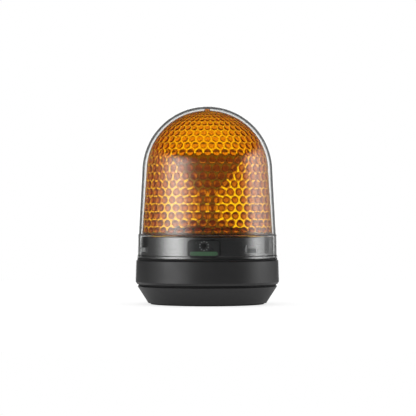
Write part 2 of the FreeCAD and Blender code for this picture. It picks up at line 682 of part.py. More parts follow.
def make_ring_gear():
    """The rotor's ring gear: its rim meshes with the idler, and its web is dished to save weight."""
    face = gear_face(worth("ring_teeth"), worth("ring_module"), 0.6, 1.25, 0.06, direction(centre, idler))
    blank = gear_blank("RingGearBlank", face, "gear_bottom", "gear_top", centre)
    dish = revolved("RingGearDish", [
        ("rim_of_hub + 0.6", "gear_top + 1"), ("rim_of_hub + 0.6", "web_top"),
        ("web_outer", "web_top"), ("web_outer", "gear_top + 1"),
    ])
    pads = [
        polar(cylinder(f"GearPad{n}", "2.6", "gear_top - web_top + 0.5"), "rotor_screw_circle / 2", angle,
              "web_top - 0.5")
        for n, angle in enumerate(ROTOR_SCREW_ANGLES)
    ]
    bore = cylinder("RingGearBore", "bush_radius", "10", "gear_bottom - 2")
    holes = rings_of_holes("GearFixing", "0.9", "gear_bottom - 1", "gear_top + 1",
                           "rotor_screw_circle / 2", ROTOR_SCREW_ANGLES)
    dished = fuse("RingGearDished", [cut("RingGearTurned", blank, [dish])] + pads)
    finished("ring_gear", cut("RingGear", dished, [bore] + holes))


def make_idler():
    """The compound idler, its small pinion on the ring gear and its wheel on the motor, and its pin and clip."""
    pinion_step = 180 / worth("idler_pinion_teeth")
    pinion = gear_blank("IdlerPinion", gear_face(worth("idler_pinion_teeth"), worth("ring_module"), 1.0, 0.85,
                                                 0.06, direction(idler, centre) + pinion_step),
                        "wheel_top", "idler_pinion_top", idler)
    wheel = gear_blank("IdlerWheel", gear_face(worth("wheel_teeth"), worth("wheel_module"), 0.6, 1.25, 0.05,
                                               direction(idler, motor)),
                       "wheel_bottom", "wheel_top", idler)
    bore = cylinder("IdlerBore", "pin_radius + running_play", "12", "wheel_bottom - 2", idler.x, idler.y)
    finished("idler_gear", cut("IdlerGear", fuse("IdlerBlank", [pinion, wheel]), [bore]))
    rod = cylinder("PinRod", "pin_radius", "pin_top - deck_bottom", "deck_bottom", idler.x, idler.y)
    collar = cylinder("PinCollar", "pin_collar", "0.45", "deck_top", idler.x, idler.y)
    finished("idler_pin", fuse("IdlerPin", [rod, collar]))
    disc = cylinder("ClipDisc", "1.9", "0.4", "idler_pinion_top + 0.15", idler.x, idler.y)
    eye = cylinder("ClipEye", "pin_radius", "2", "idler_pinion_top - 0.5", idler.x, idler.y)
    finished("idler_clip", cut("IdlerClip", disc, [eye]))


def make_motor():
    """The can motor, its shaft and the pinion pressed on the shaft."""
    barrel = cylinder("MotorBarrel", "motor_radius", "deck_bottom - motor_bottom", "motor_bottom")
    flats = block("MotorFlats", "2 * motor_flat", "2 * motor_radius + 2", "deck_bottom - motor_bottom", 0, 0,
                  "motor_bottom")
    can = doc.addObject("Part::Common", "MotorCan")
    can.Base = barrel
    can.Tool = flats
    boss = cylinder("MotorBoss", "motor_boss", "motor_boss_top - deck_bottom", "deck_bottom")
    end = cylinder("MotorEnd", "motor_radius - 4", "0.9", "motor_bottom - 0.9")
    tabs = [block(f"MotorTab{n}", "2.2", "0.8", "1.6", 0, side, "motor_bottom - 1.6")
            for n, side in enumerate(("-(tab_reach)", "tab_reach"))]
    bore = cylinder("MotorBore", "shaft_radius + running_play", "30", "motor_bottom - 5")
    holes = rings_of_holes("MotorTapped", "0.95", "deck_bottom - 4", "deck_bottom + 1",
                           "motor_screw_circle / 2", (0, 180))
    case = cut("MotorCase", fuse("MotorBlank", [can, boss, end] + tabs), [bore] + holes)
    case.Placement = Placement(motor, Rotation(Vector(0, 0, 1), motor_screw_angles[0]))
    finished("motor_case", case)
    shaft = cylinder("MotorShaft", "shaft_radius", "shaft_top - shaft_bottom", "shaft_bottom", motor.x, motor.y)
    finished("motor_shaft", shaft)
    pinion_step = 180 / worth("motor_pinion_teeth")
    pinion = gear_blank("MotorPinionBlank", gear_face(worth("motor_pinion_teeth"), worth("wheel_module"), 1.0,
                                                      0.85, 0.05, direction(motor, idler) + pinion_step),
                        "wheel_bottom", "wheel_top", motor)
    bore = cylinder("MotorPinionBore", "shaft_radius", "8", "wheel_bottom - 2", motor.x, motor.y)
    finished("motor_pinion", cut("MotorPinion", pinion, [bore]))


# ------------------------------------------------------------------------------------------ the rotor
def make_bush():
    """The rotor's sintered bush, which runs on the sleeve between the washer and the snap ring."""
    bore = "sleeve_radius + running_play"
    finished("rotor_bush", revolved("RotorBush", [
        (bore, "bush_bottom"), ("bush_flange", "bush_bottom"), ("bush_flange", "bush_flange_top"),
        ("bush_radius", "bush_flange_top"), ("bush_radius", "bush_top"), (bore, "bush_top"),
    ]))


def make_mirrors():
    """Two mirrors back to back in a V, each a shallow trough that throws the lamp's light out level."""
    ridge, top, half = "mirror_ridge", "mirror_top", "mirror_half_width"
    back_ridge, back_top = "mirror_ridge + 2.0", "mirror_half_width - mirror_thickness * 1.4"
    for label, side in (("mirror_right", 1), ("mirror_left", -1)):
        flip = "" if side == 1 else "-"
        body = prism("Mirror" + label[7:].capitalize(), "XZ_Plane", [
            (f"{flip}(0.15)", ridge, ("mirror_curve", -side)),
            (f"{flip}({half})", top),
            (f"{flip}({back_top})", top, ("mirror_back_curve", side)),
            (f"{flip}(0.15)", back_ridge),
        ], "2 * mirror_half_depth", True)
        finished(label, turned_with_mirrors(body))


def turned_with_mirrors(thing):
    """Turns a rotor piece drawn square to the frame to the angle at which the rotor stands at rest."""
    return place(thing, turn="mirror_angle")


def make_reflector_frame():
    """The frame that holds the mirrors: a ring on the gear, two arms and a V trough open at the top."""
    core = prism("MirrorCore", "XZ_Plane", [
        ("-(0.15)", "mirror_ridge + 2.0", ("mirror_back_curve", 1)),
        ("-(mirror_half_width - mirror_thickness * 1.4)", "mirror_top"),
        ("mirror_half_width - mirror_thickness * 1.4", "mirror_top", ("mirror_back_curve", 1)),
        ("0.15", "mirror_ridge + 2.0"),
    ], "2 * mirror_half_depth", True)
    trough = prism("MirrorTrough", "XZ_Plane", [
        ("-(1)", "mirror_ridge + 6.5"),
        ("1", "mirror_ridge + 6.5"),
        (TROUGH_MOUTH, "mirror_top - cap_plug - 0.5"),
        (TROUGH_MOUTH, "mirror_top + 1"),
        (f"-({TROUGH_MOUTH})", "mirror_top + 1"),
        (f"-({TROUGH_MOUTH})", "mirror_top - cap_plug - 0.5"),
    ], "2 * mirror_half_depth", True)
    members = [core, cylinder("FrameRing", "plate_radius", "plate_top - gear_top", "gear_top")]
    for name, side in (("Front", "-1"), ("Back", "1")):
        arm = prism(f"{name}Arm", "XZ_Plane", [
            ("-(arm_foot)", "plate_top - 0.5"),
            ("arm_foot", "plate_top - 0.5"),
            ("arm_half_width", "arm_shoulder"),
            ("arm_half_width", "mirror_ridge - 2"),
            ("mirror_half_width", "mirror_top - 1"),
            ("mirror_half_width", "mirror_top"),
            ("-(mirror_half_width)", "mirror_top"),
            ("-(mirror_half_width)", "mirror_top - 1"),
            ("-(arm_half_width)", "mirror_ridge - 2"),
            ("-(arm_half_width)", "arm_shoulder"),
        ], "arm_thickness", True)
        members.append(place(arm, y=f"{side} * (mirror_half_depth + arm_thickness / 2)"))
    tools = [trough, cylinder("FrameBore", "bush_radius", "6", "gear_top - 1")]
    tools += [cylinder(f"FrameFixing{n}", "1.3", "6", "gear_top - 1",
                       f"rotor_screw_circle / 2 * cos({angle} - mirror_angle)",
                       f"rotor_screw_circle / 2 * sin({angle} - mirror_angle)")
              for n, angle in enumerate(ROTOR_SCREW_ANGLES)]
    frame = cut("ReflectorFrame", fuse("FrameBlank", members), tools)
    finished("reflector_frame", turned_with_mirrors(frame))


def make_reflector_cap():
    """The cap that closes the trough: a lid over the mirrors' top edges, with a plug that locates it."""
    lid = block("CapLid", "2 * mirror_half_width", "2 * (mirror_half_depth + arm_thickness)",
                "cap_thickness", 0, 0, "mirror_top")
    plug = block("CapPlug", f"2 * ({TROUGH_MOUTH} - 0.15)", "2 * (mirror_half_depth - 0.15)",
                 "cap_plug + 0.2", 0, 0, "mirror_top - cap_plug")
    core = block("CapCore", f"2 * ({TROUGH_MOUTH} - 1.4)", "2 * (mirror_half_depth - 1.4)",
                 "cap_plug + 1", 0, 0, "mirror_top - cap_plug - 1")
    cap = cut("ReflectorCap", fuse("CapBlank", [lid, plug]), [core])
    finished("reflector_cap", turned_with_mirrors(cap))


# -------------------------------------------------------------------------------------- the electronics
def make_control_board():
    """The control board under the deck, cut back beside the motor, with the parts soldered to it."""
    disc = cylinder("BoardDisc", "board_radius", "board_thickness", "board_bottom")
    notch = radial_block("BoardNotch", "motor_circle / 2 - motor_radius - 1", "board_radius + 10", "80", "4",
                         "train_angle", "board_bottom - 1")
    holes = rings_of_holes("BoardHole", "1.1", "board_bottom - 1", "board_bottom + 3",
                           "standoff_circle / 2", STANDOFF_ANGLES)
    finished("control_board", cut("ControlBoard", disc, [notch] + holes))

    board_top = "board_bottom + board_thickness"
    can = cylinder("CapacitorCan", "4", "10.4", board_top, "-(17)", "-(3)")
    finished("capacitor", can)
    core = cylinder("ChokeCore", "4.6", "6.4", board_top, "5", "-(19)")
    well = cylinder("ChokeWell", "2", "3", f"{board_top} + 4.6", "5", "-(19)")
    finished("choke", cut("Choke", core, [well]))
    finished("driver_chip", block("DriverChip", "7", "9", "1.8", "0", "17", board_top))

    body = block("TerminalBody", "20", "9", "10", "0", "-(9)", "board_bottom - 10")
    wells = [cylinder(f"TerminalWell{n}", "1.9", "4", "board_bottom - 11", x, "-(8)")
             for n, x in enumerate(("-(6.4)", "0", "6.4"))]
    mouths = [block(f"TerminalMouth{n}", "3.6", "4", "3.4", x, "-(12.4)", "board_bottom - 6.4")
              for n, x in enumerate(("-(6.4)", "0", "6.4"))]
    finished("terminal_block", cut("TerminalBlock", body, wells + mouths))
    heads = []
    for n, x in enumerate(("-(6.4)", "0", "6.4")):
        head = cylinder(f"TerminalHead{n}", "1.8", "1.6", "board_bottom - 8.6", x, "-(8)")
        slot = block(f"TerminalSlot{n}", "4.4", "0.6", "1", x, "-(8)", "board_bottom - 9")
        heads.append(cut(f"TerminalScrew{n}", head, [slot]))
    finished("terminal_screws", group("TerminalScrews", heads))


def make_leads():
    """Two leads that rise through the heat sink to the lamp, and two that loop under to the motor's tabs."""
    lamp = rings_of_holes("LampLead", "lead_radius", "board_bottom + board_thickness", "sink_top",
                          "lamp_lead_circle / 2", LAMP_LEAD_ANGLES)
    finished("lamp_leads", group("LampLeads", lamp))
    loops = []
    for n, side in enumerate((-1, 1)):
        reach = Rotation(Vector(0, 0, 1), motor_screw_angles[0]).multVec(Vector(0, side * worth("tab_reach"), 0))
        tab = motor + reach
        toward = Rotation(Vector(0, 0, 1), worth("train_angle") + 180)
        middle = tab + toward.multVec(Vector(worth("lead_loop"), 0, 0))
        pad = tab + toward.multVec(Vector(2 * worth("lead_loop"), 0, 0))
        loop = bind(doc.addObject("Part::Torus", f"LeadLoop{n}"), Radius1="lead_loop", Radius2="lead_radius",
                    Angle3="180")
        stand = Rotation(Vector(0, 0, 1), worth("train_angle")).multiply(Rotation(Vector(1, 0, 0), -90))
        loop.Placement = Placement(Vector(middle.x, middle.y, worth("motor_bottom") - 2), stand)
        ends = [
            cylinder(f"LeadRise{n}", "lead_radius", "0.4", "motor_bottom - 2", tab.x, tab.y),
            cylinder(f"LeadPad{n}", "lead_radius", "board_bottom - motor_bottom + 2", "motor_bottom - 2",
                     pad.x, pad.y),
        ]
        loops.append(fuse(f"MotorLead{n}", [loop] + ends))
    finished("motor_leads", group("MotorLeads", loops))


def make_fasteners():
    """The five sets of screws that hold the case, the deck, the board, the motor and the rotor."""
    screws("case_screws", CASE_ANGLES, "case_screw_circle / 2", head="2.7", head_height="2",
           shank="1.25", length="15", seat="5.2", pointing_down=False)
    screws("deck_screws", DECK_ANGLES, "deck_screw_circle / 2", head="2.5", head_height="1.6",
           shank="1.25", length="11", seat="deck_top", pointing_down=True)
    screws("board_screws", STANDOFF_ANGLES, "standoff_circle / 2", head="2", head_height="1.4",
           shank="1", length="8", seat="board_bottom", pointing_down=False)
    screws("motor_screws", motor_screw_angles, "motor_screw_circle / 2", (motor.x, motor.y), head="1.6",
           head_height="1", shank="0.95", length="5.5", seat="deck_top", pointing_down=True)
    screws("rotor_screws", ROTOR_SCREW_ANGLES, "rotor_screw_circle / 2", head="1.8", head_height="1.2",
           shank="0.9", length="5", seat="plate_top", pointing_down=True)


# --------------------------------------------------------------------------------------------- build
def check_and_write():
    """Stops on any failed object or bad shape, then writes one STEP file for each piece."""
    doc.recompute()
    failed = [o.Name for o in doc.Objects if {"Invalid", "Error"} & set(o.State)]
    if failed:
        raise RuntimeError(f"these objects failed: {failed}")
    os.makedirs("parts", exist_ok=True)
    for label, piece in pieces.items():
        shape = piece.Shape
        if shape.isNull() or not shape.isValid() or not shape.Solids:
            raise RuntimeError(f"{label} has no valid solid")
        shape.exportStep(f"parts/{label}.step")
        print(f"{label}: {len(shape.Solids)} solid(s), {len(shape.Faces)} faces, {shape.Volume:.1f} mm3")


sheet = make_sheet()
centre = Vector(0, 0, 0)
idler, motor = train_places()
motor_screw_angles = (direction(motor, idler) + 90, direction(motor, idler) + 270)
make_foot()
make_inserts()
make_grommet()
make_housing()
make_seals()
make_badge()
make_globe()
make_lens()
make_deck()
make_bearing()
make_lamp()
make_ring_gear()
make_idler()
make_motor()
make_bush()
make_mirrors()
make_reflector_frame()
make_reflector_cap()
make_control_board()
make_leads()
make_fasteners()
check_and_write()
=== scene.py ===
# %% [markdown]
# # A rotating beacon, dressed
# The beacon is a stack of turned shapes: a black foot, a black band, a clear skirt over a dark collar,
# and a clear globe with an amber lens inside. The frame under it comes from the CAD model and stays as
# it is. This notebook gives every part its finish, and rebuilds the two parts whose charm is optical:
# the clear globe and the amber lens with its moulded lenslets.

import json
import math

import bmesh
import bpy
import numpy as np
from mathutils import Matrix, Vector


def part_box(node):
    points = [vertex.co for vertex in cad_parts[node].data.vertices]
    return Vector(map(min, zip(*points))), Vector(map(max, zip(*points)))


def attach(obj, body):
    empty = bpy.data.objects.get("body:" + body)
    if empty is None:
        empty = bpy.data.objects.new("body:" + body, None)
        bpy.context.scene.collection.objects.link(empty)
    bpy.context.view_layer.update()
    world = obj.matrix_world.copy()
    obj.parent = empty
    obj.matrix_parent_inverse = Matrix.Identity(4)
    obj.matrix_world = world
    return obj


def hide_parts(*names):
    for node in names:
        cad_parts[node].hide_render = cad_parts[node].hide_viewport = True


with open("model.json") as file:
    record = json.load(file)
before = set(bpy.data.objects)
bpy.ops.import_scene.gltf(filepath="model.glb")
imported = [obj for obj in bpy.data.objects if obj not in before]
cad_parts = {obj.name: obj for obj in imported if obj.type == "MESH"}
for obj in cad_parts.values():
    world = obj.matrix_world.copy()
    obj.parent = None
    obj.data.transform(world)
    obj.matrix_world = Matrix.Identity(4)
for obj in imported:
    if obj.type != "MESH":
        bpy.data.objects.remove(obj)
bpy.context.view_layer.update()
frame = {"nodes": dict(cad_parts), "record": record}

# %% [markdown]
# ## Measures
# The maker's drawings are in millimetres and Blender works in metres, so one constant turns one into
# the other. The tops of the globe and the lens are read from the frame's own boxes. The new lens ends
# at the CAD's top, and the globe's top is printed beside it.

# %% Shared measures
MM = 0.001


def top_of(node):
    """Highest point of a CAD node, in millimetres."""
    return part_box(node)[1][2] / MM


LENS_TOP = top_of("signal_lens")
print(f"globe top {top_of('globe'):.2f}, lens top {LENS_TOP:.2f}")

# %% [markdown]
# ## The camera
# A small lamp looks its best from well back with a long lens, so that the sides stay straight. The
# camera stands level, a little below the middle of the globe, and a few degrees round to the right of
# the badge. A tiny shift keeps the beacon where it belongs in the frame.

# %% Camera
CAMERA_DISTANCE = 1.48
CAMERA_HEIGHT = 0.0668
CAMERA_ROUND = math.radians(2.9)
FOCAL_LENGTH, SENSOR_WIDTH = 183.6, 36.0     # millimetres
SIDE_SHIFT = 0.0016

camera_data = bpy.data.cameras.new("Camera")
camera_data.lens = FOCAL_LENGTH
camera_data.sensor_width = SENSOR_WIDTH
camera_data.shift_x = SIDE_SHIFT
camera = bpy.data.objects.new("Camera", camera_data)
bpy.context.scene.collection.objects.link(camera)
camera.location = (CAMERA_DISTANCE * math.sin(CAMERA_ROUND), -CAMERA_DISTANCE * math.cos(CAMERA_ROUND),
                   CAMERA_HEIGHT)
camera.rotation_euler = (math.radians(90), 0, CAMERA_ROUND)
bpy.context.scene.camera = camera
bpy.context.scene.view_settings.view_transform = "Standard"

# %% [markdown]
# ## Helpers for node trees
# The studio and every finish are built from nodes. These helpers place one node each and give back its
# output, so that a tree reads from the inside out like a formula.


# %% Small helpers for node trees
def link(tree, source, target):
    """Joins an output socket to an input socket."""
    tree.links.new(source, target)


def feed(tree, value, socket):
    """Gives an input its value, which is an output socket, a number or a colour."""
    if isinstance(value, bpy.types.NodeSocket):
        link(tree, value, socket)
    elif isinstance(value, (int, float)):
        socket.default_value = value
    else:
        socket.default_value = (*value, 1)


def math_node(tree, operation, a, b=None, c=None, clamp=False):
    """A Math node. Each operand is a socket or a number."""
    node = tree.nodes.new("ShaderNodeMath")
    node.operation = operation
    node.use_clamp = clamp
    for socket, value in zip(node.inputs, (a, b, c)):
        if value is not None:
            feed(tree, value, socket)
    return node.outputs[0]


def map_range(tree, value, low, high, to_low=0.0, to_high=1.0, smooth=False):
    """A Map Range node that clamps."""
    node = tree.nodes.new("ShaderNodeMapRange")
    node.interpolation_type = "SMOOTHSTEP" if smooth else "LINEAR"
    link(tree, value, node.inputs["Value"])
    for name, number in (("From Min", low), ("From Max", high), ("To Min", to_low), ("To Max", to_high)):
        node.inputs[name].default_value = number
    return node.outputs["Result"]


def mix_value(tree, mask, first, second):
    """A Mix node for values: first where the mask is 0, second where it is 1."""
    node = tree.nodes.new("ShaderNodeMix")
    for number, value in ((0, mask), (2, first), (3, second)):
        feed(tree, value, node.inputs[number])
    return node.outputs[0]


def mix_colour(tree, mask, first, second):
    """A Mix node for colours: first where the mask is 0, second where it is 1."""
    node = tree.nodes.new("ShaderNodeMix")
    node.data_type = "RGBA"
    for number, value in ((0, mask), (6, first), (7, second)):
        feed(tree, value, node.inputs[number])
    return node.outputs[2]


def direction_test(tree, direction, towards):
    """How nearly one direction points along another: 1 is straight along it, -1 straight against it."""
    node = tree.nodes.new("ShaderNodeVectorMath")
    node.operation = "DOT_PRODUCT"
    link(tree, direction, node.inputs[0])
    node.inputs[1].default_value = towards
    return node.outputs["Value"]


def split_axes(tree, vector):
    """The X, Y and Z outputs of a vector."""
    node = tree.nodes.new("ShaderNodeSeparateXYZ")
    link(tree, vector, node.inputs[0])
    return node.outputs


def object_place(tree):
    """Where a point is on the object, in metres."""
    return tree.nodes.new("ShaderNodeTexCoord").outputs["Object"]


# %% [markdown]
# ## The studio
# Glass and gloss show what stands around them, so the studio is designed as a ring of light. Two tall
# soft lights stand to the left and the right, the space behind the beacon is white, and the side of the
# camera is dark. It could be built from lamps and cards. As a curve over the compass, in the world, it
# is easier to read and to change.
#
# Some rays need a light of their own. Matt surfaces get a plain soft dome. The globe's crown sees a
# ceiling that no reflection shows, because reflected it would veil the dome. Light that has crossed all
# the walls of globe and lens is worn down on the way, so it meets a brighter space behind.

# %% Studio light as two curves
# Degrees round from the camera's side of the beacon, positive to the right, and the light there.
RING_OF_LIGHT = [
    (-180, 0.08), (-158, 0.08), (-140, 0.08), (-122, 0.08), (-108, 0.11), (-98, 0.18), (-89, 0.36),
    (-80, 0.78), (-72, 1.40), (-64, 2.00), (-56, 2.40), (-48, 2.40), (-41, 1.90), (-34, 1.15),
    (-27, 0.52), (-20, 0.22), (-10, 0.10), (10, 0.05), (60, 0.05), (70, 0.14), (78, 0.55), (86, 1.35),
    (94, 1.70), (103, 1.45), (116, 0.80), (132, 0.30), (150, 0.10), (180, 0.08),
]
# Degrees away from straight behind the beacon, and the light there: a bright backdrop of a limited
# size, and the unlit room round it, which draws the edges of clear plastic as dark lines.
BACKDROP = [(0, 1.50), (13.5, 1.50), (17.0, 1.00), (20.5, 0.11), (60, 0.11)]
RING_PEAK = 5.0
ROOM_ABOVE = 0.03
CEILING = 0.40                  # overhead, seen only through the globe
THROUGH_LENS = (0.26, 1.85)     # in front and behind, seen only through all the walls of lens and globe
MATT_DOME = 0.85
WHITE = 1.0

# %% Where each light begins and ends
BACKDROP_TO_RING = (24.0, 40.0)     # degrees from straight behind, over which one hands over to the other
LIGHTS_END = (0.26, 0.46)           # height of a direction, 0 level and 1 overhead
CEILING_BEGINS = (0.22, 0.42)
FRONT_TO_BACK = (0.0, 0.55)         # how nearly a direction points straight behind
ALL_WALLS = 4.5                     # more surfaces than this: the ray has crossed the lens as well
THROWN_BACK = 9.0                   # what one reflection adds to that count
NONE_OR_ONE = 0.5                   # a ray's depths are whole numbers, so this parts none from one


# %% Light curves
def light_curve(tree, angle, curve, low, high):
    """A Color Ramp that gives the light at an angle in degrees, and its node's ramp."""
    ramp = tree.nodes.new("ShaderNodeValToRGB")
    link(tree, map_range(tree, angle, low, high), ramp.inputs[0])
    stops = ramp.color_ramp.elements
    while len(stops) < len(curve):
        stops.new(0.5)
    for stop, (degrees, light) in zip(stops, curve):
        stop.position = (degrees - low) / (high - low)
        stop.color = (*[light / RING_PEAK] * 3, 1)
    return ramp.color_ramp, math_node(tree, "MULTIPLY", ramp.outputs["Color"], RING_PEAK)


def ring_light(tree, axes):
    """The ring round the beacon, which ends at the top of the two lights."""
    toward_camera = math_node(tree, "MULTIPLY", axes["Y"], -1.0)
    compass = math_node(tree, "DEGREES", math_node(tree, "ARCTAN2", axes["X"], toward_camera))
    curve, ring = light_curve(tree, compass, RING_OF_LIGHT, -180, 180)
    curve.interpolation = "B_SPLINE"
    ring = math_node(tree, "MULTIPLY", ring, map_range(tree, axes["Z"], *LIGHTS_END, 1.0, 0.0, smooth=True))
    return math_node(tree, "MAXIMUM", ring, ROOM_ABOVE)


def thrown_back(tree, path):
    """How often a ray was reflected or scattered on its way."""
    return math_node(tree, "SUBTRACT", path["Ray Depth"], path["Transmission Depth"])


def through_globe_only(tree, path):
    """1 for a ray that came straight through the globe's walls, and 0 for every other."""
    count = math_node(tree, "MULTIPLY_ADD", thrown_back(tree, path), THROWN_BACK, path["Ray Depth"])
    few = math_node(tree, "LESS_THAN", count, ALL_WALLS)
    return math_node(tree, "MULTIPLY", few, path["Is Transmission Ray"])


# %% The world
def light_the_studio():
    """The world: white to the camera, the two curves to gloss and glass, and a soft dome to matt parts."""
    world = bpy.data.worlds.new("Studio")
    bpy.context.scene.world = world
    world.use_nodes = True
    tree = world.node_tree
    tree.nodes.clear()
    where = tree.nodes.new("ShaderNodeTexCoord").outputs["Generated"]
    path = tree.nodes.new("ShaderNodeLightPath").outputs
    axes = split_axes(tree, where)
    behind = direction_test(tree, where, (-math.sin(CAMERA_ROUND), math.cos(CAMERA_ROUND), 0))
    away = math_node(tree, "DEGREES", math_node(tree, "ARCCOSINE", behind))
    _, backdrop = light_curve(tree, away, BACKDROP, 0, 60)
    light = mix_value(tree, map_range(tree, away, *BACKDROP_TO_RING, smooth=True), backdrop,
                      ring_light(tree, axes))
    crown = math_node(tree, "MULTIPLY", through_globe_only(tree, path),
                      map_range(tree, axes["Z"], *CEILING_BEGINS, 0.0, CEILING, smooth=True))
    light = math_node(tree, "MAXIMUM", light, crown)
    crossed = math_node(tree, "GREATER_THAN", path["Transmission Depth"], ALL_WALLS)
    light = mix_value(tree, crossed, light,
                      map_range(tree, behind, *FRONT_TO_BACK, *THROUGH_LENS, smooth=True))
    scattered = math_node(tree, "GREATER_THAN", path["Diffuse Depth"], NONE_OR_ONE)
    light = mix_value(tree, math_node(tree, "MAXIMUM", path["Is Diffuse Ray"], scattered), light, MATT_DOME)
    light = mix_value(tree, path["Is Camera Ray"], light, WHITE)
    background = tree.nodes.new("ShaderNodeBackground")
    background.inputs["Color"].default_value = (1, 1, 1, 1)
    link(tree, light, background.inputs["Strength"])
    output = tree.nodes.new("ShaderNodeOutputWorld")
    link(tree, background.outputs[0], output.inputs["Surface"])


light_the_studio()
print("studio drawn through", len(RING_OF_LIGHT) + len(BACKDROP), "points")

# %% [markdown]
# ## The floor
# A pale sweep under the beacon grounds it with a soft shadow. Lit alone it would come out grey, so it
# also glows. The camera sees the most of that glow, glass lets some of it through, and reflections get
# little, because a bright floor in them would veil the globe.

# %% Floor
FLOOR_RADIUS, FLOOR_DROP = 0.5, 0.0002
FLOOR_SHADE = (0.42, 0.42, 0.42)
GLOW_TO_CAMERA, GLOW_THROUGH_GLASS, GLOW_IN_GLOSS = 0.72, 0.5, 0.16


def sweep_material():
    """The floor's finish: pale and matt, with a glow that differs between kinds of rays."""
    material = bpy.data.materials.new("Pale_Sweep")
    material.use_nodes = True
    tree = material.node_tree
    surface = tree.nodes["Principled BSDF"]
    surface.inputs["Base Color"].default_value = (*FLOOR_SHADE, 1)
    surface.inputs["Roughness"].default_value = 0.9
    surface.inputs["Specular IOR Level"].default_value = 0.0
    surface.inputs["Emission Color"].default_value = (1, 1, 1, 1)
    path = tree.nodes.new("ShaderNodeLightPath").outputs
    unreflected = math_node(tree, "LESS_THAN", thrown_back(tree, path), NONE_OR_ONE)
    straight_through = math_node(tree, "MULTIPLY", path["Is Transmission Ray"], unreflected)
    glow = math_node(tree, "MULTIPLY", path["Is Camera Ray"], GLOW_TO_CAMERA)
    glow = math_node(tree, "MULTIPLY_ADD", straight_through, GLOW_THROUGH_GLASS, glow)
    glow = math_node(tree, "MULTIPLY_ADD", path["Is Glossy Ray"], GLOW_IN_GLOSS, glow)
    link(tree, glow, surface.inputs["Emission Strength"])
    return material


def make_floor():
    """A disc just under the beacon, marked as part of the studio."""
    mesh = bpy.data.meshes.new("Floor")
    made = bmesh.new()
    bmesh.ops.create_circle(made, cap_ends=True, segments=96, radius=FLOOR_RADIUS)
    made.to_mesh(mesh)
    made.free()
    mesh.materials.append(sweep_material())
    floor = bpy.data.objects.new("Floor", mesh)
    bpy.context.scene.collection.objects.link(floor)
    floor.location.z = -FLOOR_DROP


make_floor()
print("floor", 2 * FLOOR_RADIUS, "m across")

# %% [markdown]
# ## Finishes
# Moulded plastic is never one flat value. The tool leaves a fine spark texture, handling polishes the
# edges, and the gloss wanders a little. A texture file could hold all that, but it would stretch over
# round walls. Noise by the millimetre does not. Those effects are shared, so each is a node group with
# its own inputs, placed in every material that needs it.


# %% Node groups
def new_group(name, inputs, outputs):
    """An empty shader node group with named sockets, and its two end nodes."""
    group = bpy.data.node_groups.new(name, "ShaderNodeTree")
    for kind, label, default in inputs:
        socket = group.interface.new_socket(label, in_out="INPUT", socket_type=kind)
        socket.default_value = default
    for kind, label in outputs:
        group.interface.new_socket(label, in_out="OUTPUT", socket_type=kind)
    return group, group.nodes.new("NodeGroupInput"), group.nodes.new("NodeGroupOutput")


def noise(tree, where, scale, detail=2.0, roughness=0.5):
    """A Noise Texture over a position. Scale is a socket or a number."""
    node = tree.nodes.new("ShaderNodeTexNoise")
    link(tree, where, node.inputs["Vector"])
    feed(tree, scale, node.inputs["Scale"])
    node.inputs["Detail"].default_value = detail
    node.inputs["Roughness"].default_value = roughness
    return node.outputs["Fac"]


def build_grain_group():
    """Moulded grain: a fine height for Bump, and a slow wander for colour and gloss."""
    group, ins, outs = new_group(
        "Moulded_Grain",
        [("NodeSocketFloat", "Grain Size", 2600.0), ("NodeSocketFloat", "Blotch Size", 60.0)],
        [("NodeSocketFloat", "Height"), ("NodeSocketFloat", "Wander")],
    )
    place = object_place(group)
    fine = noise(group, place, ins.outputs["Grain Size"], 3.0, 0.6)
    slow = noise(group, place, ins.outputs["Blotch Size"], 3.0, 0.5)
    link(group, fine, outs.inputs["Height"])
    link(group, slow, outs.inputs["Wander"])
    return group


OUTER_EDGE = (0.52, 0.60)         # pointiness is 0.5 on the flat and more on an outer edge
RUBBED_PATCHES = (0.40, 0.62)


def build_wear_group():
    """Edge wear: a mask that is 1 on rubbed outer edges, broken up so that no edge wears evenly."""
    group, ins, outs = new_group(
        "Edge_Wear",
        [("NodeSocketFloat", "Amount", 0.5), ("NodeSocketFloat", "Patch Size", 260.0)],
        [("NodeSocketFloat", "Mask")],
    )
    geometry = group.nodes.new("ShaderNodeNewGeometry")
    edge = map_range(group, geometry.outputs["Pointiness"], *OUTER_EDGE)
    patches = noise(group, object_place(group), ins.outputs["Patch Size"], 4.0, 0.6)
    patch = map_range(group, patches, *RUBBED_PATCHES)
    mask = math_node(group, "MULTIPLY", edge, patch)
    link(group, math_node(group, "MULTIPLY", mask, ins.outputs["Amount"], clamp=True), outs.inputs["Mask"])
    return group


STREAKS = 2400.0


def build_turning_group():
    """Turned metal: fine rings about the vertical, as a lathe tool leaves them."""
    group, ins, outs = new_group(
        "Tool_Rings",
        [("NodeSocketFloat", "Pitch", 9000.0)],
        [("NodeSocketFloat", "Height"), ("NodeSocketFloat", "Streak")],
    )
    axes = split_axes(group, object_place(group))
    squares = [math_node(group, "MULTIPLY", axes[a], axes[a]) for a in ("X", "Y")]
    reach = math_node(group, "SQRT", math_node(group, "ADD", *squares))
    run = math_node(group, "ADD", reach, axes["Z"])
    wave = math_node(group, "SINE", math_node(group, "MULTIPLY", run, ins.outputs["Pitch"]))
    along = group.nodes.new("ShaderNodeCombineXYZ")
    link(group, reach, along.inputs["X"])
    link(group, axes["Z"], along.inputs["Y"])
    streak = noise(group, along.outputs[0], STREAKS, 2.0, 0.5)
    link(group, wave, outs.inputs["Height"])
    link(group, streak, outs.inputs["Streak"])
    return group


GRAIN = build_grain_group()
WEAR = build_wear_group()
TURNING = build_turning_group()
print("node groups:", [g.name for g in bpy.data.node_groups])


# %% Building materials from the groups
def use_group(tree, group, **values):
    """Places a node group in a material with its own values."""
    node = tree.nodes.new("ShaderNodeGroup")
    node.node_tree = group
    for name, value in values.items():
        node.inputs[name.replace("_", " ")].default_value = value
    return node


